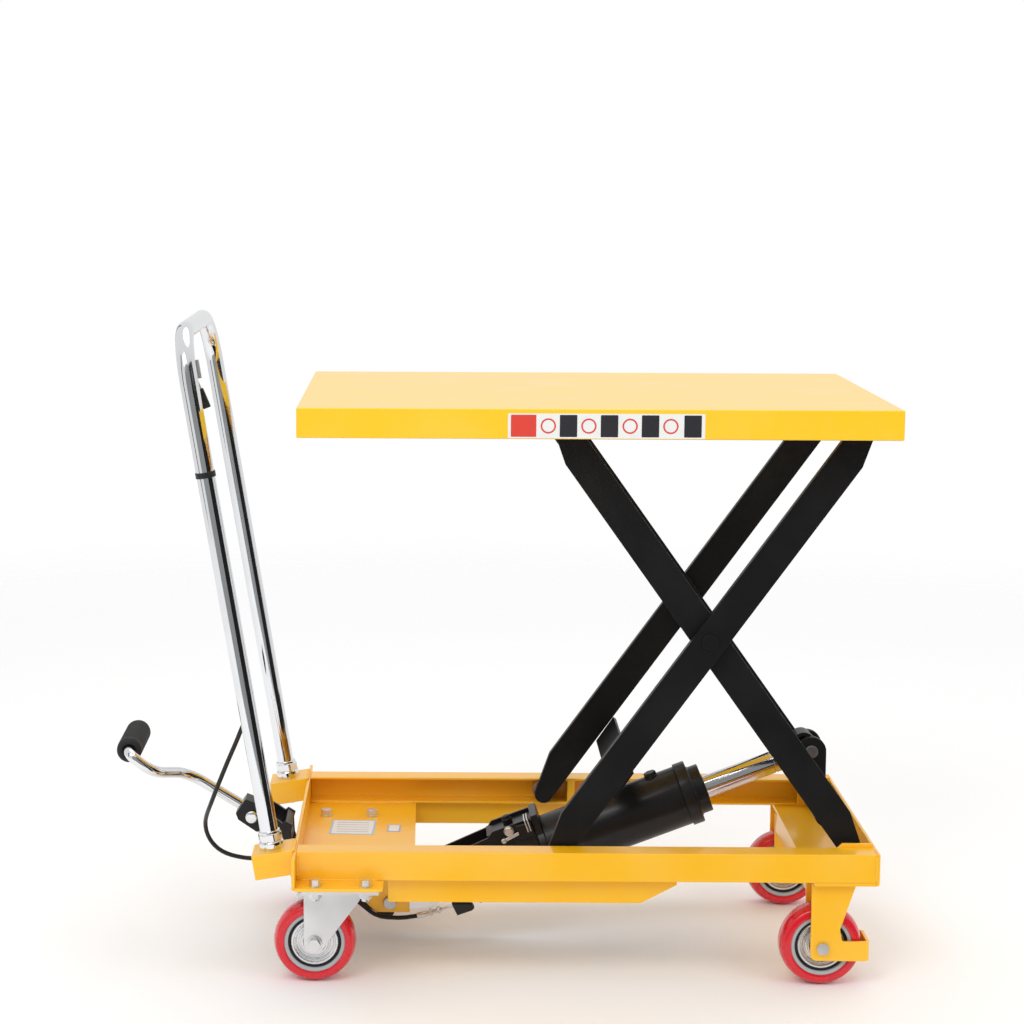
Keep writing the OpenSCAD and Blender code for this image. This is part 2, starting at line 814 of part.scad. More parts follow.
module pedal_lever() {
    half = yoke_y + yoke_t; // half the width of the lever
    color(black) placed() {
        both_sides() difference() {
            xz_plate(yoke_y, half) {
                polygon([
                    [-236, 72], [-350, 113], [-364, 120], [-368, 131], [-369, 150], [-367, 157.5],
                    [-376, 163], [-380, 160], [-389, 166.5], [-404, 175], [-412, 168], [-408, 146],
                    [-354, 105], [-252, 38.5], [-240, 50]
                ]);
                translate(low_pin) circle(r = 14);
                // ear that carries the pusher bar
                translate(cyl_origin + pusher_at[0] * cyl_dir + pusher_at[1] * cyl_up) circle(r = 6.5);
            }
            y_bar(low_pin, pin_r + run_fit, yoke_y - 1, half + 1);
        }
        // pusher bar that works the plunger
        cylinder_frame() y_bar(pusher_at, pusher_r, -yoke_y - 1, yoke_y + 1);
        // tie block behind the end plate
        xz_plate(-yoke_y - 1, yoke_y + 1)
            polygon([[-369, 132], [-370, 150], [-368.5, 157], [-376, 162], [-384, 150], [-378, 133]]);
        // clamp that grips the pedal rod
        difference() {
            union() {
                xz_plate(-15, 15) polygon([
                    [-428, 186], [-413.5, 180.5], [-400, 170], [-402, 143], [-414.7, 143.8],
                    [-437.4, 159.3], [-440.5, 167.5]
                ]);
                xz_plate(-yoke_y - 1, yoke_y + 1) polygon([[-394, 146], [-406, 149], [-410, 167], [-394, 167]]);
            }
            bar_between(rod_points[3], rod_points[4], rod_r);
        }
    }
}

rod_points = [
    [grip_at[0], 20, grip_at[1]],
    [grip_at[0], grip_y[0] - 11, grip_at[1]],
    [grip_at[0] + 31, grip_y[0] - 10, grip_at[1] - 25],
    [-503, 0, 217],
    [-410, 0, 160.2]
];

module pedal_rod() {
    color(chrome) placed() bent_bar(rod_points, rod_r);
}

module pedal_grip() {
    color(black) placed() difference() {
        y_bar(grip_at, grip_r, grip_y[0], grip_y[1]);
        y_bar(grip_at, rod_r, grip_y[0] - 1, 20);
    }
}

module pedal_clamp_bolt() {
    color(zinc) placed() {
        y_bar(clamp_at, 8, -19, -15);
        y_bar(clamp_at, 8, 15, 19);
    }
}

// ---- release control ----

lever_y = -handle_w / 2 + handle_d / 2 + 5;
lever_at = [2, 588]; // pivot of the hand lever, in the handle's frame
lever_lean = 13; // angle between the hand lever and the handle leg

module release_lever_bracket() {
    color(zinc) placed() handle_frame() difference() {
        translate([lever_at[0], lever_y, lever_at[1]]) {
            difference() {
                translate([-8, -3, -14]) cube([20, 5, 22]);
                y_bar([0, 0], 3.5, -20, 20);
            }
            y_bar([0, 0], 3.5, -7, 7);
        }
        // seat of the handle leg
        handle_path(handle_d / 2);
    }
}

// The hand lever's frame: origin in its pivot, +Z up along the lever
module lever_frame() {
    handle_frame() translate([lever_at[0], lever_y + 2.5, lever_at[1]]) rotate([0, -lever_lean, 0]) children();
}

module release_hand_lever() {
    color(zinc) placed() lever_frame() difference() {
        union() {
            translate([-3, 0, -48]) cube([6, 3, 48]);
            y_bar([0, 0], 6, 0, 3);
        }
        y_bar([0, 0], 3.5 + run_fit, -10, 10);
    }
}

module hand_lever_sleeve() {
    color(black) placed() lever_frame() difference() {
        translate([-4.5, -1.5, -52]) cube([9, 6, 24]);
        translate([-3, 0, -48]) cube([6, 3, 48]);
    }
}

valve_at = [90, -21]; // spindle of the release valve, in the cylinder's frame

module release_valve_arm() {
    color(black) placed() cylinder_frame() {
        xz_plate(-frame_y - frame_plate - 24, -frame_y - frame_plate - 14)
            polygon([[73, -15], [97, -24.5], [98, -29.6], [94.4, -31.7], [74.3, -31.2]]);
        y_bar(valve_at, 4, -frame_y - frame_plate - 14.5, -frame_y - frame_plate);
    }
}

cable_r = 2.75;
cable_points = [
    [-474, -133, 716], [-411, -133, 345], [-424.5, -131, 303.5], [-442.6, -121, 259.5],
    [-461.5, -104, 211], [-474, -66, 172], [-470, -56, 147], [-455, -50, 129], [-430, -47, 120],
    [-390, -46, 116], [-350, -46, 103], [-290, -46, 67], [-262, -46, 46], [-240, -46, 42],
    [-222, -46, 42.5], [-205, -46, 45.5]
];

module release_cable() {
    color(black) placed() bent_bar(cable_points, cable_r, $fn = 24);
}

side_rails();
rear_end_plate();
front_end_plate();
rear_deck();
front_cross_channel();
rail_stiffeners();
cylinder_bracket();
handle_stubs();
front_wheel_brackets();
arm_pivot_plates();
arm_pivot_pins();
cylinder_pin();
handle_tube();
handle_nuts();
release_lever_bracket();
release_cable();
caster_plates();
caster_bolts();
front_axles();
caster_fork_left();
caster_fork_right();
caster_axle_left();
caster_axle_right();
caster_tyre_left();
caster_tyre_right();
caster_hub_left();
caster_hub_right();
front_tyre_left();
front_tyre_right();
front_hub_left();
front_hub_right();
base_roller_left();
base_roller_right();
table_roller_left();
table_roller_right();
inner_arms();
ram_lugs();
lug_pin();
outer_arms();
cross_brace();
centre_bolts();
table_top();
table_channels();
table_brackets();
table_pivot_pins();
cylinder_barrel();
gland_cap();
pump_block();
pump_frame();
cylinder_fittings();
ram_rod();
ram_eye();
pump_plunger();
pedal_lever();
pedal_rod();
pedal_grip();
pedal_clamp_bolt();
release_hand_lever();
hand_lever_sleeve();
release_valve_arm();
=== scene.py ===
"""Looks of the scissor lift table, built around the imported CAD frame. Metres, +Z up."""
import math
import random

import bmesh
import bpy
from mathutils import Matrix, Vector, noise
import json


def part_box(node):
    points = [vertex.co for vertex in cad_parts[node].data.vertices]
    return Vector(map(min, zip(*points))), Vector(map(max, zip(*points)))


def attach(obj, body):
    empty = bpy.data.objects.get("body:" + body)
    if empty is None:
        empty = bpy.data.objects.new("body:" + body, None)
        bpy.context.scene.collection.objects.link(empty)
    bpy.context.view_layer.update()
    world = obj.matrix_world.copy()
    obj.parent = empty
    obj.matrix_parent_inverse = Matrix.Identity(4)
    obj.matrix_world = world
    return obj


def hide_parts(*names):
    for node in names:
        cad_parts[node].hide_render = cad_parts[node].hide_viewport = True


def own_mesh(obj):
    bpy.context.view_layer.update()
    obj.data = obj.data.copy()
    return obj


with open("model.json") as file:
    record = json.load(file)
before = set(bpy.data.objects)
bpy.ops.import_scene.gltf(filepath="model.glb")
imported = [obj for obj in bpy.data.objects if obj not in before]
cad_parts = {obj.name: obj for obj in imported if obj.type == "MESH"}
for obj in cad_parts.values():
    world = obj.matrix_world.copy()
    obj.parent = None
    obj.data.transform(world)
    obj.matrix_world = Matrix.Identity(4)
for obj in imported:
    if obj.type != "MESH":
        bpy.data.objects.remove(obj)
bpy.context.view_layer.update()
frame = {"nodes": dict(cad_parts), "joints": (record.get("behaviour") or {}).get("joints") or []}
nodes = frame["nodes"]
joints = {j["name"]: j for j in frame["joints"]}
MM = 0.001
SIDES = {"left": 1, "right": -1}
Y_AXIS = Vector((0, 1, 0))


# ---- where things are, read from the frame ----

def mid(node):
    """Middle of a CAD node's box."""
    low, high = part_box(node)
    return (low + high) / 2


def size(node):
    """Size of a CAD node's box."""
    low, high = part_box(node)
    return high - low


def joint_at(name):
    """Point on a joint's axis."""
    return Vector(joints[name]["pos_m"])


# ---- materials ----

class Shader:
    """A Principled material whose colour, roughness and bump come from layered noise."""

    def __init__(self, name, colour, roughness, metallic=0.0, coat=0.0):
        self.material = bpy.data.materials.new(name)
        self.material.use_nodes = True
        self.tree = self.material.node_tree
        self.bsdf = self.tree.nodes["Principled BSDF"]
        self.place = self.tree.nodes.new("ShaderNodeTexCoord").outputs["Object"]
        self.bsdf.inputs["Metallic"].default_value = metallic
        self.bsdf.inputs["Coat Weight"].default_value = coat
        self.bsdf.inputs["Coat Roughness"].default_value = 0.12
        rgb = self.node("ShaderNodeRGB")
        rgb.outputs[0].default_value = (*colour, 1)
        self.colour = rgb.outputs[0]
        value = self.node("ShaderNodeValue")
        value.outputs[0].default_value = roughness
        self.roughness = value.outputs[0]
        self.height = None

    def node(self, kind, **inputs):
        """A new node with some of its inputs set or linked."""
        made = self.tree.nodes.new(kind)
        for key, value in inputs.items():
            socket = made.inputs[key.replace("_", " ")]
            if isinstance(value, bpy.types.NodeSocket):
                self.tree.links.new(value, socket)
            else:
                socket.default_value = value
        return made

    def math(self, operation, a, b):
        made = self.tree.nodes.new("ShaderNodeMath")
        made.operation = operation
        for socket, value in zip(made.inputs, (a, b)):
            if isinstance(value, bpy.types.NodeSocket):
                self.tree.links.new(value, socket)
            else:
                socket.default_value = value
        return made.outputs[0]

    def noise(self, scale, detail=3.0, roughness=0.55, stretch=None):
        """Noise from 0 to 1; stretch scales the three axes, for brushed or drawn marks."""
        place = self.place
        if stretch:
            mapping = self.node("ShaderNodeMapping", Vector=place, Scale=stretch)
            place = mapping.outputs[0]
        made = self.node("ShaderNodeTexNoise", Vector=place, Scale=scale, Detail=detail, Roughness=roughness)
        return made.outputs["Fac"]

    def spread(self, value, low, high, to_low=0.0, to_high=1.0):
        """Maps low..high of a value to to_low..to_high, clamped."""
        made = self.node("ShaderNodeMapRange", Value=value)
        made.inputs["From Min"].default_value = low
        made.inputs["From Max"].default_value = high
        made.inputs["To Min"].default_value = to_low
        made.inputs["To Max"].default_value = to_high
        return made.outputs[0]

    def tint(self, mask, colour, strength=1.0):
        """Mixes a colour in where the mask is high."""
        mix = self.tree.nodes.new("ShaderNodeMix")
        mix.data_type = "RGBA"
        self.tree.links.new(self.math("MULTIPLY", mask, strength), mix.inputs[0])
        self.tree.links.new(self.colour, mix.inputs[6])
        mix.inputs[7].default_value = (*colour, 1)
        self.colour = mix.outputs[2]
        return self

    def vary_roughness(self, mask, amount):
        self.roughness = self.math("ADD", self.roughness, self.math("MULTIPLY", mask, amount))
        return self

    def raise_by(self, mask, height):
        """Adds a layer of relief, height in metres."""
        layer = self.math("MULTIPLY", mask, height)
        self.height = layer if self.height is None else self.math("ADD", self.height, layer)
        return self

    def edges(self, radius=0.0012):
        """Mask that is 1 along sharp edges."""
        bevel = self.node("ShaderNodeBevel", Radius=radius)
        bevel.samples = 4
        normal = self.tree.nodes.new("ShaderNodeNewGeometry").outputs["Normal"]
        dot = self.tree.nodes.new("ShaderNodeVectorMath")
        dot.operation = "DOT_PRODUCT"
        self.tree.links.new(bevel.outputs[0], dot.inputs[0])
        self.tree.links.new(normal, dot.inputs[1])
        return self.spread(dot.outputs["Value"], 0.99, 0.75)

    def done(self):
        links = self.tree.links
        links.new(self.colour, self.bsdf.inputs["Base Color"])
        links.new(self.roughness, self.bsdf.inputs["Roughness"])
        if self.height is not None:
            made = self.node("ShaderNodeBump", Strength=1.0, Distance=1.0, Height=self.height)
            links.new(made.outputs[0], self.bsdf.inputs["Normal"])
            links.new(made.outputs[0], self.bsdf.inputs["Coat Normal"])
        return self.material


def powder_paint(name, colour, worn_and_edge_highlight, roughness, peel, coat, sheen=0.5):
    """Powder coat: orange peel, faint cloudiness, a little dust, and a painted highlight that lightens the
    sharp edges.
    """
    s = Shader(name, colour, roughness, coat=coat)
    s.bsdf.inputs["Specular IOR Level"].default_value = sheen
    cloud = s.noise(9, 4)
    s.tint(s.spread(cloud, 0.45, 0.75), worn_and_edge_highlight, 0.10)
    # painted highlight: sharp edges are mixed towards the pale colour to stand in for light caught on the
    # edges
    s.tint(s.edges(), worn_and_edge_highlight, 0.35)
    specks = s.spread(s.noise(900, 1), 0.74, 0.80)
    s.tint(specks, worn_and_edge_highlight, 0.25)
    s.vary_roughness(s.spread(cloud, 0.3, 0.7), 0.10)
    s.raise_by(s.noise(420, 2), peel)
    s.raise_by(s.noise(60, 2), peel * 2)
    return s.done()


def plated(name, colour, roughness, haze, grain, stretch=None):
    """Chrome, zinc or turned steel: haze, fine marks and a few darker spots."""
    s = Shader(name, colour, roughness, metallic=1.0)
    smudge = s.noise(14, 5)
    s.vary_roughness(s.spread(smudge, 0.42, 0.72), haze)
    s.vary_roughness(s.spread(s.noise(700, 2, stretch=stretch), 0.4, 0.7), haze * 0.5)
    spots = s.spread(s.noise(260, 2), 0.70, 0.78)
    s.tint(spots, tuple(c * 0.55 for c in colour), 0.5)
    s.tint(s.spread(smudge, 0.5, 0.8), tuple(c * 0.82 for c in colour), 0.5)
    s.raise_by(s.noise(500, 2, stretch=stretch), grain)
    return s.done()


def cast_tyre(name):
    """Cast polyurethane: glossy red, slightly translucent, scuffed where it rolls."""
    s = Shader(name, (0.66, 0.003, 0.016), 0.20, coat=0.5)
    s.bsdf.inputs["Subsurface Weight"].default_value = 0.06
    s.bsdf.inputs["Subsurface Radius"].default_value = (0.004, 0.001, 0.001)
    scuff = s.spread(s.noise(55, 5, 0.7), 0.52, 0.66)
    s.tint(scuff, (0.46, 0.004, 0.014), 0.35)
    s.vary_roughness(scuff, 0.14)
    s.vary_roughness(s.noise(400, 2), 0.08)
    s.raise_by(s.noise(120, 3), 0.00012)
    return s.done()


def moulded(name, colour, roughness, grain_scale, grain):
    """Moulded rubber or plastic with a fine grain and dusty patches."""
    s = Shader(name, colour, roughness)
    s.bsdf.inputs["Specular IOR Level"].default_value = 0.35
    dust = s.spread(s.noise(30, 5, 0.65), 0.5, 0.75)
    s.tint(dust, (0.12, 0.12, 0.11), 0.10)
    s.vary_roughness(dust, 0.12)
    s.raise_by(s.noise(grain_scale, 3), grain)
    return s.done()


def printed_film(name, colour):
    """Label film: satin, very slightly uneven."""
    s = Shader(name, colour, 0.32)
    s.tint(s.spread(s.noise(70, 3), 0.5, 0.8), tuple(c * 0.85 for c in colour), 0.35)
    s.vary_roughness(s.noise(160, 2), 0.10)
    s.raise_by(s.noise(220, 2), 0.00003)
    return s.done()


# pale colours for the cloudy tone and dust specks, also used for the painted highlight on sharp edges
PAINT_WORN_AND_EDGE_HIGHLIGHT = (0.98, 0.80, 0.32)
BLACK_WORN_AND_EDGE_HIGHLIGHT = (0.06, 0.06, 0.06)
MATERIALS = {
    "frame_paint": powder_paint("frame_paint", (0.96, 0.50, 0.004), PAINT_WORN_AND_EDGE_HIGHLIGHT, 0.30, 0.00005, 0.4),
    "table_paint": powder_paint("table_paint", (0.98, 0.57, 0.006), PAINT_WORN_AND_EDGE_HIGHLIGHT, 0.28, 0.00004, 0.4),
    "arm_paint": powder_paint("arm_paint", (0.008, 0.008, 0.009), BLACK_WORN_AND_EDGE_HIGHLIGHT, 0.40, 0.00010, 0.0, 0.24),
    "cylinder_paint": powder_paint("cylinder_paint", (0.007, 0.007, 0.008), BLACK_WORN_AND_EDGE_HIGHLIGHT, 0.32,
                                   0.00006, 0.10, 0.30),
    "handle_chrome": plated("handle_chrome", (0.80, 0.81, 0.83), 0.05, 0.07, 0.000004),
    "ram_chrome": plated("ram_chrome", (0.74, 0.74, 0.77), 0.10, 0.06, 0.000006, (40, 40, 1)),
    "zinc": plated("zinc", (0.80, 0.81, 0.83), 0.27, 0.16, 0.00003),
    "pin_steel": plated("pin_steel", (0.52, 0.52, 0.54), 0.28, 0.12, 0.00002, (1, 30, 1)),
    "tyre_red": cast_tyre("tyre_red"),
    "rim_metal": plated("rim_metal", (0.80, 0.81, 0.83), 0.24, 0.12, 0.00002),
    "rim_grey": moulded("rim_grey", (0.40, 0.42, 0.43), 0.36, 300, 0.00002),
    "black_plastic": moulded("black_plastic", (0.015, 0.015, 0.016), 0.42, 500, 0.00004),
    "black_rubber": moulded("black_rubber", (0.016, 0.016, 0.017), 0.62, 650, 0.00010),
    "cable_sheath": moulded("cable_sheath", (0.011, 0.011, 0.012), 0.30, 260, 0.00003),
    "label_white": printed_film("label_white", (0.80, 0.80, 0.78)),
    "label_red": printed_film("label_red", (0.72, 0.05, 0.03)),
    "label_dark": printed_film("label_dark", (0.025, 0.024, 0.030)),
    "label_blue": printed_film("label_blue", (0.35, 0.55, 0.75)),
    "label_grey": printed_film("label_grey", (0.42, 0.42, 0.48)),
}


# ---- geometry ----

def keep_piece(name, mesh, material, body, smooth_angle=35, replaces=()):
    """Links a mesh as a finished piece that rides on a CAD body."""
    mesh.shade_smooth()
    mesh.set_sharp_from_angle(angle=math.radians(smooth_angle))
    piece = bpy.data.objects.new(name, mesh)
    bpy.context.scene.collection.objects.link(piece)
    mesh.materials.append(MATERIALS[material])
    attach(piece, body)
    if replaces:
        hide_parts(*replaces)
    return piece


def from_bmesh(name, bm):
    bmesh.ops.remove_doubles(bm, verts=bm.verts, dist=1e-7)
    bmesh.ops.recalc_face_normals(bm, faces=bm.faces)
    mesh = bpy.data.meshes.new(name)
    bm.to_mesh(mesh)
    bm.free()
    return mesh


def fillet(points, radius, steps=5, closed=True):
    """Rounds the corners of a polyline in 2D or 3D. radius is one value or one per point."""
    points = [Vector(p) for p in points]
    count = len(points)
    radii = radius if isinstance(radius, (list, tuple)) else [radius] * count
    out = []
    for i, p in enumerate(points):
        if not closed and i in (0, count - 1) or radii[i] <= 0:
            out.append(p)
            continue
        a = points[i - 1] - p
        b = points[(i + 1) % count] - p
        half = a.angle(b) / 2
        cut = min(radii[i] / math.tan(half), a.length * 0.49, b.length * 0.49)
        r = cut * math.tan(half)
        a, b = a.normalized(), b.normalized()
        centre = p + (a + b).normalized() * (r / math.sin(half))
        start, end = p + a * cut - centre, p + b * cut - centre
        turn = start.angle(end)
        for k in range(steps + 1):
            t = k / steps
            arm = (start * math.sin((1 - t) * turn) + end * math.sin(t * turn)) / math.sin(turn)
            out.append(centre + arm)
    return out


def basis(axis):
    """Two unit vectors square to an axis."""
    axis = Vector(axis).normalized()
    side = axis.cross(Vector((0, 0, 1)))
    if side.length < 1e-4:
        side = Vector((1, 0, 0))
    side.normalize()
    return side, axis.cross(side).normalized()


def lathe(name, profile, origin, axis, material, body, steps=72, **kept):
    """Turns a closed (radius, along) outline round an axis."""
    axis = Vector(axis).normalized()
    side, up = basis(axis)
    bm = bmesh.new()
    rings = []
    for k in range(steps):
        a = 2 * math.pi * k / steps
        out = side * math.cos(a) + up * math.sin(a)
        rings.append([bm.verts.new(Vector(origin) + out * r + axis * h) for r, h in profile])
    count = len(profile)
    for k in range(steps):
        near, far = rings[k], rings[(k + 1) % steps]
        for i in range(count):
            j = (i + 1) % count
            if max(profile[i][0], profile[j][0]) < 1e-6:
                continue
            bm.faces.new((near[i], near[j], far[j], far[i]))
    bmesh.ops.remove_doubles(bm, verts=bm.verts, dist=1e-6)
    bmesh.ops.dissolve_degenerate(bm, edges=bm.edges, dist=1e-7)
    return keep_piece(name, from_bmesh(name, bm), material, body, **kept)


def sweep_mesh(bm, path, radius, steps=20):
    """Adds a round tube along a path; radius is a number or a function of the share along it."""
    path = [Vector(p) for p in path]
    rings, side = [], None
    for i, p in enumerate(path):
        ahead = path[min(i + 1, len(path) - 1)] - path[max(i - 1, 0)]
        ahead.normalize()
        if side is None:
            side = basis(ahead)[0]
        side = (side - ahead * side.dot(ahead)).normalized()
        up = ahead.cross(side)
        r = radius(i / (len(path) - 1)) if callable(radius) else radius
        rings.append([bm.verts.new(p + (side * math.cos(t) + up * math.sin(t)) * r)
                      for t in (2 * math.pi * k / steps for k in range(steps))])
    for near, far in zip(rings, rings[1:]):
        for k in range(steps):
            bm.faces.new((near[k], near[(k + 1) % steps], far[(k + 1) % steps], far[k]))
    bm.faces.new(rings[0][::-1])
    bm.faces.new(rings[-1])


def sweep(name, path, radius, material, body, steps=20, **kept):
    """A round tube along a path, kept as a piece."""
    bm = bmesh.new()
    sweep_mesh(bm, path, radius, steps)
    return keep_piece(name, from_bmesh(name, bm), material, body, **kept)


def resample(path, step):
    """Points along a polyline at about equal steps."""
    out = [Vector(path[0])]
    for a, b in zip(path, path[1:]):
        a, b = Vector(a), Vector(b)
        count = max(1, round((b - a).length / step))
        out += [a.lerp(b, k / count) for k in range(1, count + 1)]
    return out


def smooth_path(points, step):
    """Catmull-Rom curve through points."""
    pts = [Vector(p) for p in points]
    pts = [pts[0] * 2 - pts[1]] + pts + [pts[-1] * 2 - pts[-2]]
    out = []
    for p0, p1, p2, p3 in zip(pts, pts[1:], pts[2:], pts[3:]):
        count = max(2, int((p2 - p1).length / step))
        for k in range(count):
            t = k / count
            out.append(0.5 * (2 * p1 + (p2 - p0) * t + (2 * p0 - 5 * p1 + 4 * p2 - p3) * t * t
                              + (3 * p1 - p0 - 3 * p2 + p3) * t ** 3))
    return out + [pts[-2]]


def prism_mesh(bm, outline, thickness, place):
    """Adds an outline in the local X-Y plane, thickened along +Z, moved by a matrix."""
    low = [bm.verts.new(place @ Vector((x, y, 0))) for x, y in outline]
    high = [bm.verts.new(place @ Vector((x, y, thickness))) for x, y in outline]
    count = len(outline)
    bm.faces.new(low[::-1])
    bm.faces.new(high)
    for i in range(count):
        j = (i + 1) % count
        bm.faces.new((low[i], low[j], high[j], high[i]))


def add_bevel(piece, width, segments=2, angle=35):
    """Softens the edges that are sharper than an angle in degrees."""
    bevel = piece.modifiers.new("soft_edges", "BEVEL")
    bevel.width = width
    bevel.segments = segments
    bevel.limit_method = "ANGLE"
    bevel.angle_limit = math.radians(angle)
    bevel.use_clamp_overlap = True
    normals = piece.modifiers.new("even_normals", "WEIGHTED_NORMAL")
    normals.keep_sharp = False
    return piece


def prism(name, outline, thickness, place, material, body, bevel=0.0008, **kept):
    """A thickened outline, kept as a piece; bevel 0 leaves the edges sharp."""
    bm = bmesh.new()
    prism_mesh(bm, outline, thickness, place)
    piece = keep_piece(name, from_bmesh(name, bm), material, body, smooth_angle=60, **kept)
    return add_bevel(piece, bevel) if bevel else piece


def xz_place(y):
    """Matrix that stands a local X-Y outline up in the X-Z plane at y, thickened towards +Y."""
    return Matrix(((1, 0, 0, 0), (0, 0, 1, y), (0, 1, 0, 0), (0, 0, 0, 1)))


def hexagon(flats, start=0.0):
    """Corners of a hexagon of a given width across its flats."""
    r = flats / math.sqrt(3)
    return [(r * math.cos(start + k * math.pi / 3), r * math.sin(start + k * math.pi / 3)) for k in range(6)]


def axis_place(origin, axis, turn=0.0):
    """Matrix that sends local Z to axis."""
    side, up = basis(axis)
    spin = Matrix.Rotation(turn, 4, "Z")
    a = Vector(axis).normalized()
    return Matrix.Translation(Vector(origin)) @ Matrix((
        (side.x, up.x, a.x, 0), (side.y, up.y, a.y, 0), (side.z, up.z, a.z, 0), (0, 0, 0, 1))) @ spin


def hex_head(name, origin, axis, flats, height, material, body, turn=0.0, washer=0.0):
    """Hexagon head with a turned chamfer, and a washer under it if asked."""
    bm = bmesh.new()
    place = axis_place(origin, axis, turn)
    base = washer * 0.12
    prism_mesh(bm, hexagon(flats), height, place @ Matrix.Translation((0, 0, base)))
    top = list(bm.verts)
    corner = flats / math.sqrt(3)
    local = place.inverted()
    for v in top:
        p = local @ v.co
        if p.z > height * 0.5 + base:
            v.co = place @ Vector((p.x * 0.97, p.y * 0.97, p.z - corner * 0.02))
    if washer:
        angles = [2 * math.pi * k / 32 for k in range(32)]
        ring = [(washer * math.cos(t), washer * math.sin(t)) for t in angles]
        prism_mesh(bm, ring, base, place)
    piece = keep_piece(name, from_bmesh(name, bm), material, body, smooth_angle=50)
    return add_bevel(piece, height * 0.10, 2, 25)


def weld_bead(name, a, b, width, seed):
    """A painted fillet weld on the base: overlapping ripples with slight wander."""
    rng = random.Random(seed)
    a, b = Vector(a), Vector(b)
    length = (b - a).length
    path = resample([a, b], 0.0006)
    phase = rng.random() * 6

    def radius(t):
        along = t * length
        ripple = 0.10 * math.sin(2 * math.pi * along / 0.0034 + phase)
        wander = 0.16 * noise.noise(Vector((along * 90, phase, 0)))
        ends = min(1.0, 0.35 + 12 * min(t, 1 - t) * length / 0.05)
        return width * (1 + ripple + wander) * ends

    return sweep(name, path, radius, "frame_paint", "base", steps=10)


# ---- CAD nodes that keep their own shape ----

def dress(node, material, bevel=0.0, segments=2):
    """Gives a CAD node its material and softened edges."""
    piece = nodes[node]
    piece.data.materials.clear()
    piece.data.materials.append(MATERIALS[material])
    if bevel:
        weld = piece.modifiers.new("join_seams", "WELD")
        weld.merge_threshold = 1e-6
        flat = piece.modifiers.new("clear_flats", "DECIMATE")
        flat.decimate_type = "DISSOLVE"
        flat.angle_limit = math.radians(0.6)
        add_bevel(piece, bevel, segments)
    return piece


def dress_frame():
    """Materials and edge radii of the nodes that keep their CAD shape."""
    for node in ("side_rails", "rear_end_plate", "front_end_plate", "rear_deck", "front_cross_channel",
                 "rail_stiffeners", "cylinder_bracket", "front_wheel_brackets", "arm_pivot_plates"):
        dress(node, "frame_paint", 0.0009)
    dress("handle_stubs", "frame_paint", 0.0022, 3)
    dress("table_top", "table_paint", 0.0016, 3)
    for node in ("table_channels", "table_brackets"):
        dress(node, "table_paint", 0.0006)
    for node in ("inner_arms", "outer_arms", "cross_brace", "ram_lugs"):
        dress(node, "arm_paint", 0.0007)
    for node in ("pump_block", "pump_frame", "pedal_lever", "ram_eye"):
        dress(node, "cylinder_paint", 0.0010)
    for node in ("arm_pivot_pins", "cylinder_pin", "lug_pin", "table_pivot_pins"):
        dress(node, "pin_steel", 0.0006)
    for node in ("caster_plates", "caster_bolts", "front_axles", "caster_axle_left", "caster_axle_right",
                 "release_lever_bracket", "release_hand_lever"):
        dress(node, "zinc", 0.0005)
    dress("pump_plunger", "ram_chrome", 0.0005)
    dress("hand_lever_sleeve", "black_plastic", 0.0012, 3)
    dress("release_valve_arm", "black_plastic", 0.0016, 3)


# ---- wheels and casters ----

def wheel(kind, side):
    """Tyre, rim ring, dust seal and pressed disc of one wheel."""
    body = f"{kind}_wheel_{side}"
    tyre, hub = f"{kind}_tyre_{side}", f"{kind}_hub_{side}"
    at = mid(tyre)
    r = size(tyre).z / 2
    half = size(tyre).y / 2
    rim = size(hub).z / 2
    profile = fillet(
        [(rim, -half + 0.001), (rim + 0.002, -half + 0.0004), (r - 0.004, -half + 0.0002), (r, -half + 0.010),
         (r, half - 0.010), (r - 0.004, half - 0.0002), (rim + 0.002, half - 0.0004), (rim, half - 0.001),
         (rim - 0.001, 0)],
        [0, 0.001, 0.006, 0.020, 0.020, 0.006, 0.001, 0, 0], 9)
    lathe(f"{kind}_tyre_body_{side}", profile, at, Y_AXIS, "tyre_red", body, 96, replaces=(tyre,))
    seal = rim * 0.875
    disc = rim * 0.795
    face = half - 0.0016
    ring = fillet([(seal, -face), (rim + 0.0002, -face), (rim + 0.0002, face), (seal, face)], 0.0012, 4)
    lathe(f"{kind}_rim_ring_{side}", ring, at, Y_AXIS, "rim_grey", body, 96)
    lip = face - 0.0035
    band = fillet([(disc, -lip), (seal + 0.0002, -lip), (seal + 0.0002, lip), (disc, lip)], 0.0008, 3)
    lathe(f"{kind}_dust_seal_{side}", band, at, Y_AXIS, "black_rubber", body, 96)
    bore = 0.0062
    web = face - 0.002
    steps = [(disc + 0.0002, web - 0.002), (disc - 0.0012, web), (disc - 0.0035, web),
             (disc - 0.0045, web - 0.0015),
             (disc - 0.0060, web - 0.0015), (disc - 0.0070, web - 0.0040), (disc - 0.0095, web - 0.0045),
             (disc - 0.0105, web - 0.0025), (disc - 0.0120, web - 0.0025), (disc - 0.0130, web - 0.0005),
             (disc - 0.0150, web - 0.0005), (bore + 0.0045, web - 0.0020), (bore + 0.0035, web + 0.0010),
             (bore, web + 0.0010)]
    outline = fillet(steps, 0.0009, 3, closed=False)
    outline += [Vector((p.x, -p.y)) for p in reversed(outline)]
    lathe(f"{kind}_wheel_disc_{side}", outline, at, Y_AXIS, "rim_metal", body, 96, replaces=(hub,))


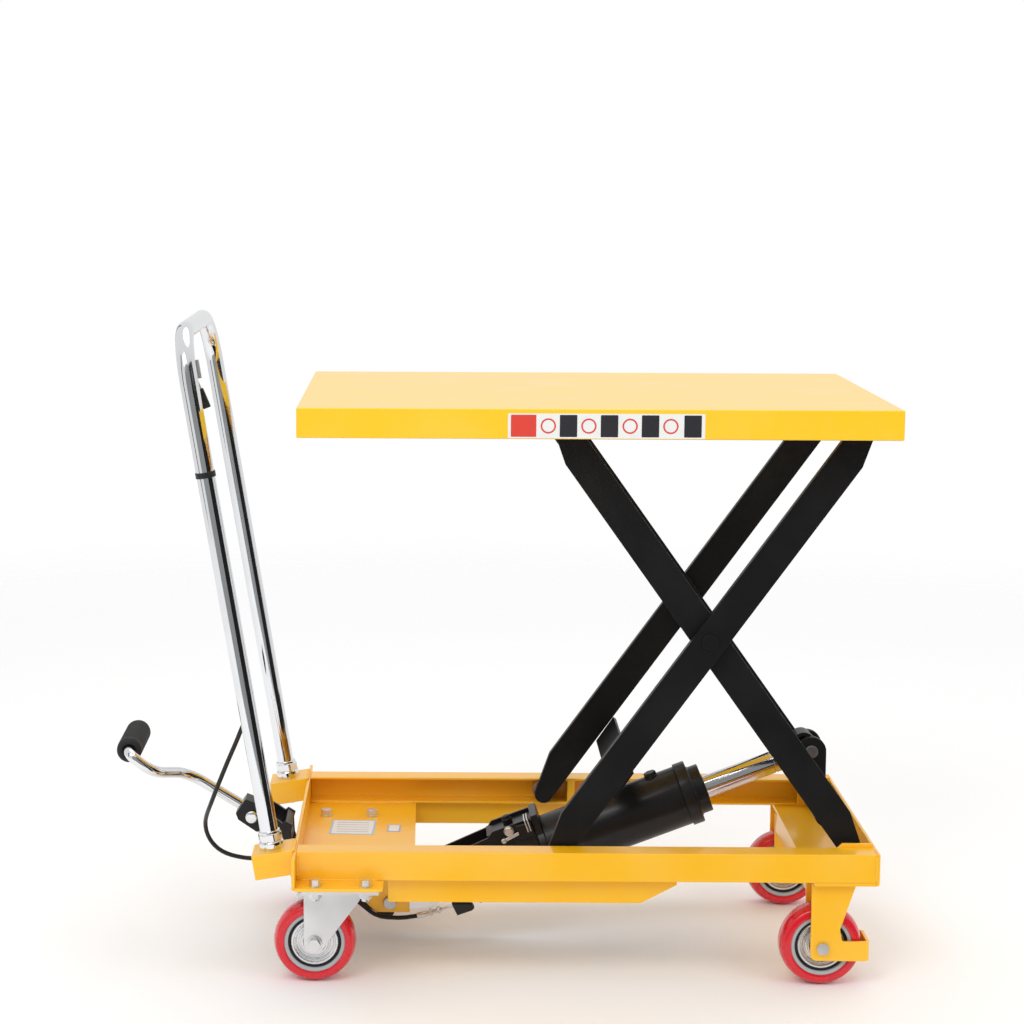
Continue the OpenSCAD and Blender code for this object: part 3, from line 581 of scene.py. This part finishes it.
def caster_fork(side):
    """Pressed fork with its crown, swivel race, dust ring and axle washers."""
    s = SIDES[side]
    body = f"caster_{side}"
    node = f"caster_fork_{side}"
    low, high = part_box(node)
    swivel = joint_at(f"caster_swivel_{side}")
    axle = joint_at(f"caster_wheel_{side}_spin")
    thick = 0.003
    top = high.z - 0.0058
    hub_r = axle.z - low.z
    back = axle.x - hub_r
    arc = [(axle.x + hub_r * math.cos(t), axle.z + hub_r * math.sin(t))
           for t in (math.pi + k * math.pi * 0.74 / 14 for k in range(15))]
    outline = fillet([(back, top)] + arc + [(swivel.x + 0.007, top - 0.030), (swivel.x + 0.022, top - 0.010),
                                           (swivel.x + 0.024, top)],
                     [0.002] + [0] * 15 + [0.020, 0.006, 0.001], 8)
    bm = bmesh.new()
    middle = mid(node).y
    inner = size(node).y / 2 - 0.013
    for y in (middle - inner, middle + inner - thick):
        prism_mesh(bm, outline, thick, xz_place(y))
    lip = 0.0035
    crown = [(swivel.x + 0.024, top + lip * 0.2), (swivel.x + 0.024, top - thick),
             (back + 0.004, top - thick), (back - 0.004, top - 0.006), (back - 0.0070, top - 0.012),
             (back - 0.0095, top - 0.010), (back - 0.008, top - 0.002), (back, top + lip * 0.2)]
    prism_mesh(bm, fillet(crown, [0.001, 0.001, 0.008, 0.01, 0.001, 0.001, 0.01, 0.008], 5), 2 * inner,
               xz_place(middle - inner))
    piece = keep_piece(f"caster_fork_body_{side}", from_bmesh(node, bm), "zinc", body, 50, replaces=(node,))
    add_bevel(piece, 0.0007)
    race = fillet([(0.010, 0), (0.031, 0), (0.033, 0.003), (0.030, 0.006), (0.010, 0.006)], 0.0015, 4)
    lathe(f"caster_lower_race_{side}", race, (swivel.x, swivel.y, top), (0, 0, 1), "zinc", body, 64)
    ring = fillet([(0.028, 0), (0.034, 0.001), (0.0345, 0.004), (0.029, 0.0055)], 0.001, 3)
    lathe(f"caster_dust_ring_{side}", ring, (swivel.x, swivel.y, top + 0.0055), (0, 0, 1), "black_plastic",
          "base", 64)
    for end in (-1, 1):
        face = Vector((axle.x, middle + end * (inner + 0.0001), axle.z))
        cap = fillet([(0, 0), (0.0095, 0), (0.0095, 0.0018), (0.0070, 0.0018), (0.0062, 0.0034), (0, 0.0034)],
                     [0, 0, 0.0006, 0.0004, 0.0008, 0], 3)
        where = "in" if end * s < 0 else "out"
        lathe(f"caster_axle_washer_{side}_{where}", cap, face, (0, end, 0), "zinc", body, 48)


# ---- handle ----

def handle():
    """Bent tube, its two nuts and the clip that holds the cable."""
    low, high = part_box("handle_tube")
    r = 0.011
    lean = math.radians(9.6)
    for _ in range(4):
        foot = Vector((high.x - r * math.cos(lean), 0, low.z + r * math.sin(lean)))
        head = Vector((low.x + r, 0, high.z - r))
        lean = math.atan((foot.x - head.x) / (head.z - foot.z))
    y = high.y - r
    bend = 0.062
    path = fillet([(foot.x, -y, foot.z), (head.x, -y, head.z), (head.x, y, head.z), (foot.x, y, foot.z)],
                  bend, 20, closed=False)
    sweep("handle_tube_body", path, r, "handle_chrome", "base", 48, replaces=("handle_tube",))
    up = (head - foot).normalized()
    base = mid("handle_nuts")
    h = size("handle_nuts").z / up.z * 0.93
    for end in (-1, 1):
        name = "near" if end < 0 else "far"
        start = Vector((base.x, end * y, base.z)) - up * h / 2
        skirt = fillet([(r, 0), (0.0144, 0), (0.0150, 0.0012), (0.0150, h * 0.42), (0.0138, h * 0.50),
                        (r, h * 0.50)], [0, 0.0004, 0.0006, 0.0012, 0.0008, 0], 4)
        lathe(f"handle_nut_skirt_{name}", skirt, start, up, "handle_chrome", "base", 64,
              replaces=("handle_nuts",) if end < 0 else ())
        collar = fillet([(r, h * 0.9), (0.0132, h * 0.9), (0.0128, h * 1.02), (r, h * 1.05)],
                        [0, 0.0005, 0.0008, 0], 4)
        lathe(f"handle_nut_collar_{name}", collar, start, up, "handle_chrome", "base", 64)
        bm = bmesh.new()
        prism_mesh(bm, hexagon(0.0262), h * 0.46, axis_place(start + up * h * 0.48, up, 0.35))
        piece = keep_piece(f"handle_nut_hex_{name}", from_bmesh("nut_hex", bm), "handle_chrome", "base", 50)
        add_bevel(piece, 0.0016, 3, 25)
    clip_at = foot + up * 0.492 - Y_AXIS * y
    band = fillet([(0.0111, 0), (0.0121, 0), (0.0121, 0.007), (0.0111, 0.007)], 0.0004, 3)
    lathe("cable_clip_band", band, clip_at, up, "black_plastic", "base", 48)
    strap = [clip_at + up * 0.0035 + Vector((0.003, reach, 0)) for reach in (0.010, 0.027)]
    sweep("cable_clip_arm", strap, 0.0036, "black_plastic", "base", 16)


# ---- control cable, pedal ----

def release_cable():
    """The sheath follows the CAD cable's own corner points."""
    table_mid = mid("table_top").x
    corners = [
        (-474, -133, 716), (-448.4, -133, 565), (-424, -133, 421), (-411, -133, 345), (-424.5, -131, 303.5),
        (-442.6, -121, 259.5), (-461.5, -104, 211), (-474, -66, 172), (-470, -56, 147), (-455, -50, 129),
        (-430, -47, 120), (-390, -46, 116), (-350, -46, 103), (-290, -46, 67), (-262, -46, 46),
        (-240, -46, 42), (-222, -46, 42.5), (-205, -46, 45.5)]
    points = [Vector((x * MM + table_mid, y * MM, z * MM)) for x, y, z in corners]
    sweep("cable_sheath_body", smooth_path(points, 0.006), 0.00275, "cable_sheath", "base", 16,
          replaces=("release_cable",))
    start, end = points[-1], Vector((-163 * MM + table_mid, -46 * MM, 58 * MM))
    along = end - start
    length = along.length
    profile = [(0, -0.004), (0.0036, -0.004), (0.0038, -0.003), (0.0038, 0.009), (0.0028, 0.010)]
    for k in range(14):
        h = 0.011 + k * 0.0012
        profile += [(0.0024, h), (0.0028, h + 0.0006)]
    profile += [(0.0024, 0.028), (0.0016, 0.029), (0.0016, length), (0, length)]
    lathe("cable_adjuster", profile, start, along, "zinc", "cylinder", 24, smooth_angle=50)
    for nut, h, flats in (("nut", 0.0125, 0.0090), ("locknut", 0.0225, 0.0080)):
        hex_head(f"cable_adjuster_{nut}", start + along.normalized() * h, along, flats, 0.0035,
                 "zinc", "cylinder")
    outline = fillet([(-219, 63), (-179, 64), (-190, 55), (-219, 52)], 1.5, 3)
    outline = [(x * MM + table_mid, z * MM) for x, z, *_ in outline]
    prism("cable_stay", outline, 0.0018, xz_place(-0.0439), "zinc", "base", 0.0004)


def pedal():
    """Cranked rod, ribbed grip and the studs of the clamp."""
    low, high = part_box("pedal_grip")
    centre = (low + high) / 2
    r = (high.z - low.z) / 2
    rod_r = 0.007
    rod_low, rod_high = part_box("pedal_rod")
    clamp = mid("pedal_clamp_bolt")
    slope = math.radians(31.4)
    inner_end = Vector((rod_high.x - rod_r * math.sin(slope), 0, rod_low.z + rod_r * math.cos(slope)))
    back = Vector((-math.cos(slope), 0, math.sin(slope)))
    jog = inner_end + back * 0.109
    near = low.y - 0.011
    path = [Vector((centre.x, centre.y + 0.011, centre.z)), Vector((centre.x, near, centre.z)),
            Vector((centre.x + 0.031, near + 0.001, centre.z - 0.025)), jog, inner_end]
    path = fillet(path, [0, 0.013, 0.045, 0.05, 0], 14, closed=False)
    sweep("pedal_rod_body", path, rod_r, "handle_chrome", "pedal", 32, replaces=("pedal_rod",))
    length = high.y - low.y
    profile = [(rod_r, 0.003), (0.0095, 0.0), (r - 0.0035, 0.0), (r - 0.0006, 0.003)]
    grooves = 26
    for k in range(grooves):
        at = 0.010 + (length - 0.016) * k / (grooves - 1)
        profile += [(r - 0.0001, at - 0.0010), (r - 0.0007, at + 0.0006)]
    profile += [(r - 0.0012, length - 0.002), (r - 0.004, length), (0, length), (0, 0.012), (rod_r, 0.012)]
    stud = fillet([(0, 0), (0.0082, 0), (0.0082, 0.0022), (0.0066, 0.0040), (0, 0.0044)],
                  [0, 0, 0.0012, 0.0012, 0], 4)
    for end in (-1, 1):
        lathe("pedal_clamp_bolt_" + ("near" if end < 0 else "far"), stud, clamp + Y_AXIS * end * 0.0150,
              Y_AXIS * end, "handle_chrome", "pedal", 48, replaces=("pedal_clamp_bolt",) if end < 0 else ())
    lathe("pedal_grip_sleeve", profile, (centre.x, low.y, centre.z), Y_AXIS, "black_rubber", "pedal", 64,
          smooth_angle=60, replaces=("pedal_grip",))


# ---- cylinder ----

def cylinder():
    """Barrel, gland, ram and fittings, placed along the ram's axis in millimetres."""
    axis = Vector(joints["ram_slide"]["axis"]).normalized()
    up = Vector((-axis.z, 0, axis.x))
    origin = joint_at("cylinder_tilt") - up * 13 * MM

    def at(along, across=0.0, y=0.0):
        return origin + axis * along * MM + up * across * MM + Y_AXIS * y * MM

    def turned(outline, radii, steps=5):
        return fillet([(r * MM, h * MM) for r, h in outline], [r * MM for r in radii], steps)

    body = "cylinder"
    lathe("barrel_tube", turned([(0, 0), (38, 0), (38, 182.3), (0, 182.3)], [0, 2, 0.6, 0]), at(212), axis,
          "cylinder_paint", body, 96, replaces=("cylinder_barrel",))
    cap = turned([(14.2, 0), (40.5, 0), (40.5, 15.5), (33, 15.5), (31, 17.5), (31, 30), (18, 30), (17, 27.5),
                  (14.2, 27.5)], [0, 1.2, 1.6, 0.8, 0.8, 1.6, 0.5, 0.4, 0])
    lathe("gland_nut", cap, at(394.3), axis, "cylinder_paint", body, 96, replaces=("gland_cap",))
    lathe("rod_wiper", turned([(14.1, 0), (17, 0), (16, 3), (14.1, 3.4)], [0.5] * 4, 3), at(422), axis,
          "black_rubber", body, 64)
    reach = 232.4
    rod = [(0, 0), (14, 0), (14, 203), (13.2, 203.4), (13.2, 204.8), (14, 205.2), (14, reach - 3),
           (12, reach), (0, reach)]
    lathe("ram_rod_body", [(r * MM, h * MM) for r, h in rod], at(312), axis, "ram_chrome", "ram", 96,
          smooth_angle=30, replaces=("ram_rod",))
    lathe("filler_boss", turned([(0, -5), (9, -5), (9, 0), (0, 0)], [0, 0, 1, 0], 4), at(364.5, 39), up,
          "cylinder_paint", body, 48)
    hex_head("filler_plug", at(364.5, 39), up, 14.5 * MM, 4.5 * MM, "cylinder_paint", body, 0.3)
    knob = turned([(0, 0), (6.4, 0), (6.4, 7), (5.6, 8), (5.6, 11.5), (0, 12.5)], [0, 0, 0.6, 0.5, 1.6, 0])
    lathe("relief_valve_cap", knob, at(173, 43.5), up, "cylinder_paint", body, 40,
          replaces=("cylinder_fittings",))
    for end in (-1, 1):
        name = "near" if end < 0 else "far"
        hex_head(f"pump_bolt_{name}", at(172, 41.6, end * 26), (0, end, 0), 10.5 * MM, 5 * MM, "zinc", body,
                 0.2, 6.4 * MM)
        hex_head(f"pump_plug_{name}", at(190, 2, end * 26), (0, end, 0), 15 * MM, 3 * MM, "cylinder_paint",
                 body, 0.1)
    pump_details(at, axis, up)
    pump_spring(at, axis)


def pump_details(at, axis, up):
    """End flange, valve body, wire clips and a latch bar on the pump block."""
    def plate(name, outline, y0, y1, material, bevel, corner=1.0):
        o = at(0, 0, y0)
        place = Matrix(((axis.x, up.x, 0, o.x), (0, 0, 1, o.y), (axis.z, up.z, 0, o.z), (0, 0, 0, 1)))
        outline = fillet([(u * MM, w * MM) for u, w in outline], corner * MM, 3)
        prism(name, [(p.x, p.y) for p in outline], (y1 - y0) * MM, place, material, "cylinder", bevel)
    plate("pump_end_flange", [(203, -36), (212.5, -36), (212.5, 50), (203, 50)], -27, 27, "cylinder_paint",
          0.0012)
    plate("valve_body", [(183, 28), (202, 28), (202, 44), (183, 46)], -33, -25.9, "cylinder_paint", 0.0010)
    plate("latch_bar", [(159, 30.4), (187, 34.2), (187, 38), (159, 34.4)], -31, -28.4, "zinc", 0.0005, 1.4)
    screw = [(0, 0), (0.0034, 0), (0.0034, 0.0050), (0.0024, 0.0062), (0, 0.0064)]
    lathe("latch_screw", screw, at(162, 32.6, -26), -Y_AXIS, "zinc", "cylinder", 32)
    for k, u in enumerate((195.5, 199.0)):
        path = [at(u, 34, -34), at(u, 50.6, -32.6), at(u, 50.6, -8), at(u, 43, -6)]
        sweep(f"pump_wire_clip{k}", fillet(path, 0.003, 5, closed=False), 0.0009, "zinc", "cylinder", 10)


def pump_spring(at, axis):
    """Return spring round the plunger, and the collar it rests on."""
    turns, start, end, r = 9, 16, 141, 8.6
    side, up = basis(axis)
    path = []
    for k in range(turns * 20 + 1):
        a = 2 * math.pi * k / 20
        along = start + (end - start) * k / (turns * 20)
        path.append(at(along, -3) + (side * math.cos(a) + up * math.sin(a)) * r * MM)
    piece = sweep("pump_return_spring", path, 0.0011, "pin_steel", "cylinder", 8)
    collar = fillet([(0.0060, 0), (0.0098, 0), (0.0098, 0.0025), (0.0060, 0.0025)], 0.0005, 3)
    lathe("plunger_collar", collar, at(start - 3.2, -3), axis, "pin_steel", "plunger", 40)
    tuple(at(end, -3))
    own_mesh(piece)


# ---- small fittings ----

def centre_bolts():
    """Round heads with a recessed face on the outer arms."""
    at = joint_at("scissor_pivot")
    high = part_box("centre_bolts")[1]
    head = fillet([(0, -0.004), (0.0092, -0.004), (0.0098, 0.0008), (0.0080, 0.0016), (0.0052, 0.0016),
                   (0.0046, -0.0006), (0, -0.0006)], [0, 0, 0.0006, 0.0005, 0.0004, 0.0003, 0], 3)
    for name, end in (("right", -1), ("left", 1)):
        arm_face = Vector((at.x, end * (high.y - 0.002), at.z))
        lathe(f"centre_bolt_head_{name}", head, arm_face, (0, end, 0), "arm_paint", "outer_arms", 48)
    dress("centre_bolts", "arm_paint", 0.0005)


def track_rollers():
    """The four rollers at the free ends of the arms."""
    for kind in ("base", "table"):
        for side in SIDES:
            node = f"{kind}_roller_{side}"
            at, r, half = mid(node), size(node).z / 2, size(node).y / 2
            profile = fillet([(0.0071, -half), (0.0105, -half), (0.011, -half + 0.0012),
                              (r - 0.001, -half + 0.0012), (r, -half + 0.003), (r, half - 0.003),
                              (r - 0.001, half - 0.0012),
                              (0.011, half - 0.0012), (0.0105, half), (0.0071, half)], 0.0006, 3)
            lathe(f"{kind}_roller_body_{side}", profile, at, Y_AXIS, "pin_steel", node, 64, replaces=(node,))


def welds():
    """Fillet welds where the plates of the base meet."""
    rail_low, rail_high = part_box("side_rails")
    deck_low, deck_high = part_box("rear_deck")
    plate_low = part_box("rear_end_plate")[0]
    stub_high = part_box("handle_stubs")[1]
    wheel_low, wheel_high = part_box("front_wheel_brackets")
    inner = rail_high.y - 0.030
    for name, s in SIDES.items():
        seed = 3 if s > 0 else 11
        weld_bead(f"weld_deck_{name}", (deck_low.x + 0.006, s * inner, deck_high.z + 0.0005),
                  (deck_high.x - 0.004, s * inner, deck_high.z + 0.0005), 0.0014, seed)
        weld_bead(f"weld_rail_rear_{name}", (rail_low.x + 0.001, s * rail_high.y, rail_low.z + 0.004),
                  (rail_low.x + 0.001, s * rail_high.y, rail_high.z - 0.002), 0.0017, seed + 1)
        weld_bead(f"weld_wing_{name}", (deck_low.x + 0.004, s * (rail_high.y + 0.0005), deck_high.z + 0.0005),
                  (deck_low.x + 0.098, s * (rail_high.y + 0.0005), deck_high.z + 0.0005), 0.0013, seed + 2)
        weld_bead(f"weld_stub_top_{name}", (plate_low.x + 0.0002, s * 0.137, stub_high.z - 0.0015),
                  (plate_low.x + 0.0002, s * 0.183, stub_high.z - 0.0015), 0.0022, seed + 3)
        weld_bead(f"weld_rail_front_{name}", (rail_high.x - 0.0005, s * rail_high.y, rail_low.z + 0.002),
                  (rail_high.x - 0.0005, s * rail_high.y, rail_high.z - 0.003), 0.0013, seed + 4)
        weld_bead(f"weld_wheel_plate_{name}",
                  (wheel_low.x + 0.004, s * (wheel_high.y + 0.0006), rail_low.z - 0.001),
                  (wheel_low.x + 0.044, s * (wheel_high.y + 0.0006), rail_low.z - 0.001), 0.0013, seed + 5)


def labels():
    """Plain printed films: a strip on both long edges of the table, and two on the deck."""
    low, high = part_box("table_top")
    middle_x = mid("table_top").x
    middle_z = (low.z + high.z) / 2 - 0.002
    film = 0.0002
    for name, s in SIDES.items():
        flip = 1 if s < 0 else -1

        def slab(label, x0, x1, h, layer, material):
            y = s * (high.y + film * layer) - (0 if s > 0 else film)
            a, b = sorted((middle_x + flip * x0 * MM, middle_x + flip * x1 * MM))
            z0, z1 = middle_z - h / 2, middle_z + h / 2
            outline = fillet([(a, z0), (b, z0), (b, z1), (a, z1)], 0.0008, 3)
            prism(f"{label}_{name}", outline, film, xz_place(y), material, "table", 0)
        slab("strip_film", -106.4, 120.4, 0.0288, 0, "label_white")
        slab("strip_red_block", -102.9, -73.7, 0.0255, 1, "label_red")
        for k, x in enumerate((-36.7, 10.4, 57.5, 106.35)):
            slab(f"strip_dark_block{k}", x - 10, x + 10, 0.0255, 1, "label_dark")
        for k, x in enumerate((-59.9, -13.3, 34.1, 80.9)):
            ring = fillet([(0.0070, 0), (0.0088, 0), (0.0088, film), (0.0070, film)], 0, 1)
            centre = (middle_x + flip * x * MM, s * (high.y + film), middle_z)
            lathe(f"strip_ring{k}_{name}", ring, centre, (0, s, 0), "label_red", "table", 48)
    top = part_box("rear_deck")[1].z

    def deck_label(name, x, y, w, h, layer, material):
        outline = fillet([(-w / 2, -h / 2), (w / 2, -h / 2), (w / 2, h / 2), (-w / 2, h / 2)], 0.0010, 3)
        place = Matrix.Translation((middle_x + x, y, top + film * layer)) @ Matrix.Rotation(-0.04, 4, "Z")
        prism(name, outline, film, place, material, "base", 0)
    deck_label("deck_label_border", -0.2932, 0.0383, 0.0575, 0.0625, 0, "label_blue")
    deck_label("deck_label_field", -0.2932, 0.0383, 0.0525, 0.0575, 1, "label_white")
    for k in range(5):
        deck_label(f"deck_label_rule{k}", -0.2932, 0.0180 + k * 0.0100, 0.0420, 0.0012, 2, "label_grey")
    deck_label("deck_label_small", -0.2398, 0.0347, 0.0176, 0.0315, 0, "label_grey")
    deck_label("deck_label_small_field", -0.2398, 0.0347, 0.0130, 0.0250, 1, "label_white")


# ---- studio ----

def studio():
    """White surroundings, floor, three soft lights and the cards seen in mirror finishes."""
    world = bpy.data.worlds.new("studio")
    bpy.context.scene.world = world
    world.use_nodes = True
    background = world.node_tree.nodes["Background"]
    background.inputs[0].default_value = (1.0, 1.0, 1.0, 1)
    paths = world.node_tree.nodes.new("ShaderNodeLightPath")
    level = world.node_tree.nodes.new("ShaderNodeMapRange")
    level.inputs["To Min"].default_value = 0.84
    world.node_tree.links.new(paths.outputs["Is Camera Ray"], level.inputs["Value"])
    world.node_tree.links.new(level.outputs[0], background.inputs[1])
    bpy.context.scene.view_settings.view_transform = "Standard"
    floor_r = 3.2
    dark, grey = 0.012, 0.30
    bm = bmesh.new()
    bmesh.ops.create_circle(bm, cap_ends=True, segments=128, radius=floor_r)
    mesh = from_bmesh("floor", bm)
    floor = bpy.data.objects.new("floor", mesh)
    bpy.context.scene.collection.objects.link(floor)
    mesh.materials.append(floor_material(floor_r))
    soft_light("key", (-1.2, -2.4, 2.9), (0, 0, 0.35), 1.8, 31)
    soft_light("fill", (2.4, -1.8, 1.8), (0, 0, 0.4), 1.6, 13)
    soft_light("top", (0.2, 0.6, 3.0), (0, 0, 0.3), 2.2, 16)
    # cards: where they stand, width, turn, and how bright they look in a mirror finish
    for card in (("card_dark", (1.225, -1.0), 2.02, 0.838, dark),
                 ("card_grey", (-0.35, -1.90), 1.92, 0.0, grey),
                 ("card_left", (-2.2, -0.9), 0.35, -0.9, 0.03),
                 ("card_back", (-1.4, 2.2), 0.5, 2.4, 0.05)):
        wall_card(*card)
    thick = 0.004
    lying = Matrix.Translation((0, 0, thick))
    dark_outline = [(-0.2, -0.35), (2.0, -0.3), (2.0, -2.0), (0.65, -2.0)]
    grey_outline = [(-0.85, -1.25), (0.26, -1.25), (0.65, -2.0), (-1.3, -2.0)]
    mirror_card("card_floor_dark", dark_outline, thick, lying, dark)
    mirror_card("card_floor_grey", grey_outline, thick, lying, grey)


def floor_material(radius):
    """Pale floor that fades into the background, and is clear from below."""
    s = Shader("floor_pale", (0.97, 0.97, 0.97), 0.60)
    s.vary_roughness(s.noise(3, 4), 0.1)
    s.tint(s.spread(s.noise(1.2, 3), 0.4, 0.8), (0.94, 0.94, 0.94), 0.4)
    material = s.done()
    tree = s.tree
    length = tree.nodes.new("ShaderNodeVectorMath")
    length.operation = "LENGTH"
    tree.links.new(s.place, length.inputs[0])
    fade = s.spread(length.outputs["Value"], radius * 0.45, radius * 0.98)
    below = tree.nodes.new("ShaderNodeNewGeometry").outputs["Backfacing"]
    clear = s.math("MAXIMUM", fade, below)
    mix = tree.nodes.new("ShaderNodeMixShader")
    glass = tree.nodes.new("ShaderNodeBsdfTransparent")
    tree.links.new(clear, mix.inputs[0])
    tree.links.new(s.bsdf.outputs[0], mix.inputs[1])
    tree.links.new(glass.outputs[0], mix.inputs[2])
    tree.links.new(mix.outputs[0], tree.nodes["Material Output"].inputs["Surface"])
    return material


def soft_light(name, place, target, width, power):
    data = bpy.data.lights.new(name, "AREA")
    data.shape = "DISK"
    data.size = width
    data.energy = power
    light = bpy.data.objects.new(name, data)
    bpy.context.scene.collection.objects.link(light)
    light.location = place
    light.rotation_euler = (Vector(target) - Vector(place)).to_track_quat("-Z", "Y").to_euler()


def wall_card(name, place, width, turn, glow):
    """Standing card."""
    mirror_card(name, [(-width / 2, 0.01), (width / 2, 0.01), (width / 2, 2.2), (-width / 2, 2.2)], 0.01,
                Matrix.Translation((*place, 0)) @ Matrix.Rotation(turn, 4, "Z") @ xz_place(0), glow)


def mirror_card(name, outline, thick, place, glow):
    """Studio card that only mirror finishes see."""
    bm = bmesh.new()
    prism_mesh(bm, outline, thick, place)
    mesh = from_bmesh(name, bm)
    card = bpy.data.objects.new(name, mesh)
    bpy.context.scene.collection.objects.link(card)
    s = Shader(name, (0.005, 0.005, 0.005), 0.9)
    s.bsdf.inputs["Specular IOR Level"].default_value = 0.0
    s.bsdf.inputs["Emission Color"].default_value = (1, 1, 1, 1)
    s.bsdf.inputs["Emission Strength"].default_value = glow
    mesh.materials.append(s.done())
    card.visible_camera = False
    card.visible_diffuse = False
    card.visible_shadow = False
    card.visible_transmission = False


def camera():
    """Long lens facing the right side of the table, looking slightly down."""
    data = bpy.data.cameras.new("camera")
    data.sensor_width = 36
    data.lens = 80.28
    data.shift_x = 0.0916
    data.shift_y = -0.0456
    cam = bpy.data.objects.new("camera", data)
    bpy.context.scene.collection.objects.link(cam)
    cam.location = (mid("table_top").x - 0.197, -2.833, 0.9976)
    pitch, yaw, roll = math.radians(-7.72), math.radians(0.27), math.radians(0.246)
    cam.rotation_mode = "QUATERNION"
    turn = (Matrix.Rotation(yaw, 3, "Z") @ Matrix.Rotation(math.pi / 2 + pitch, 3, "X")
            @ Matrix.Rotation(roll, 3, "Z"))
    cam.rotation_quaternion = turn.to_quaternion()
    bpy.context.scene.camera = cam


dress_frame()
for wheel_side in SIDES:
    for wheel_kind in ("caster", "front"):
        wheel(wheel_kind, wheel_side)
    caster_fork(wheel_side)
handle()
release_cable()
pedal()
cylinder()
centre_bolts()
track_rollers()
welds()
labels()
studio()
camera()
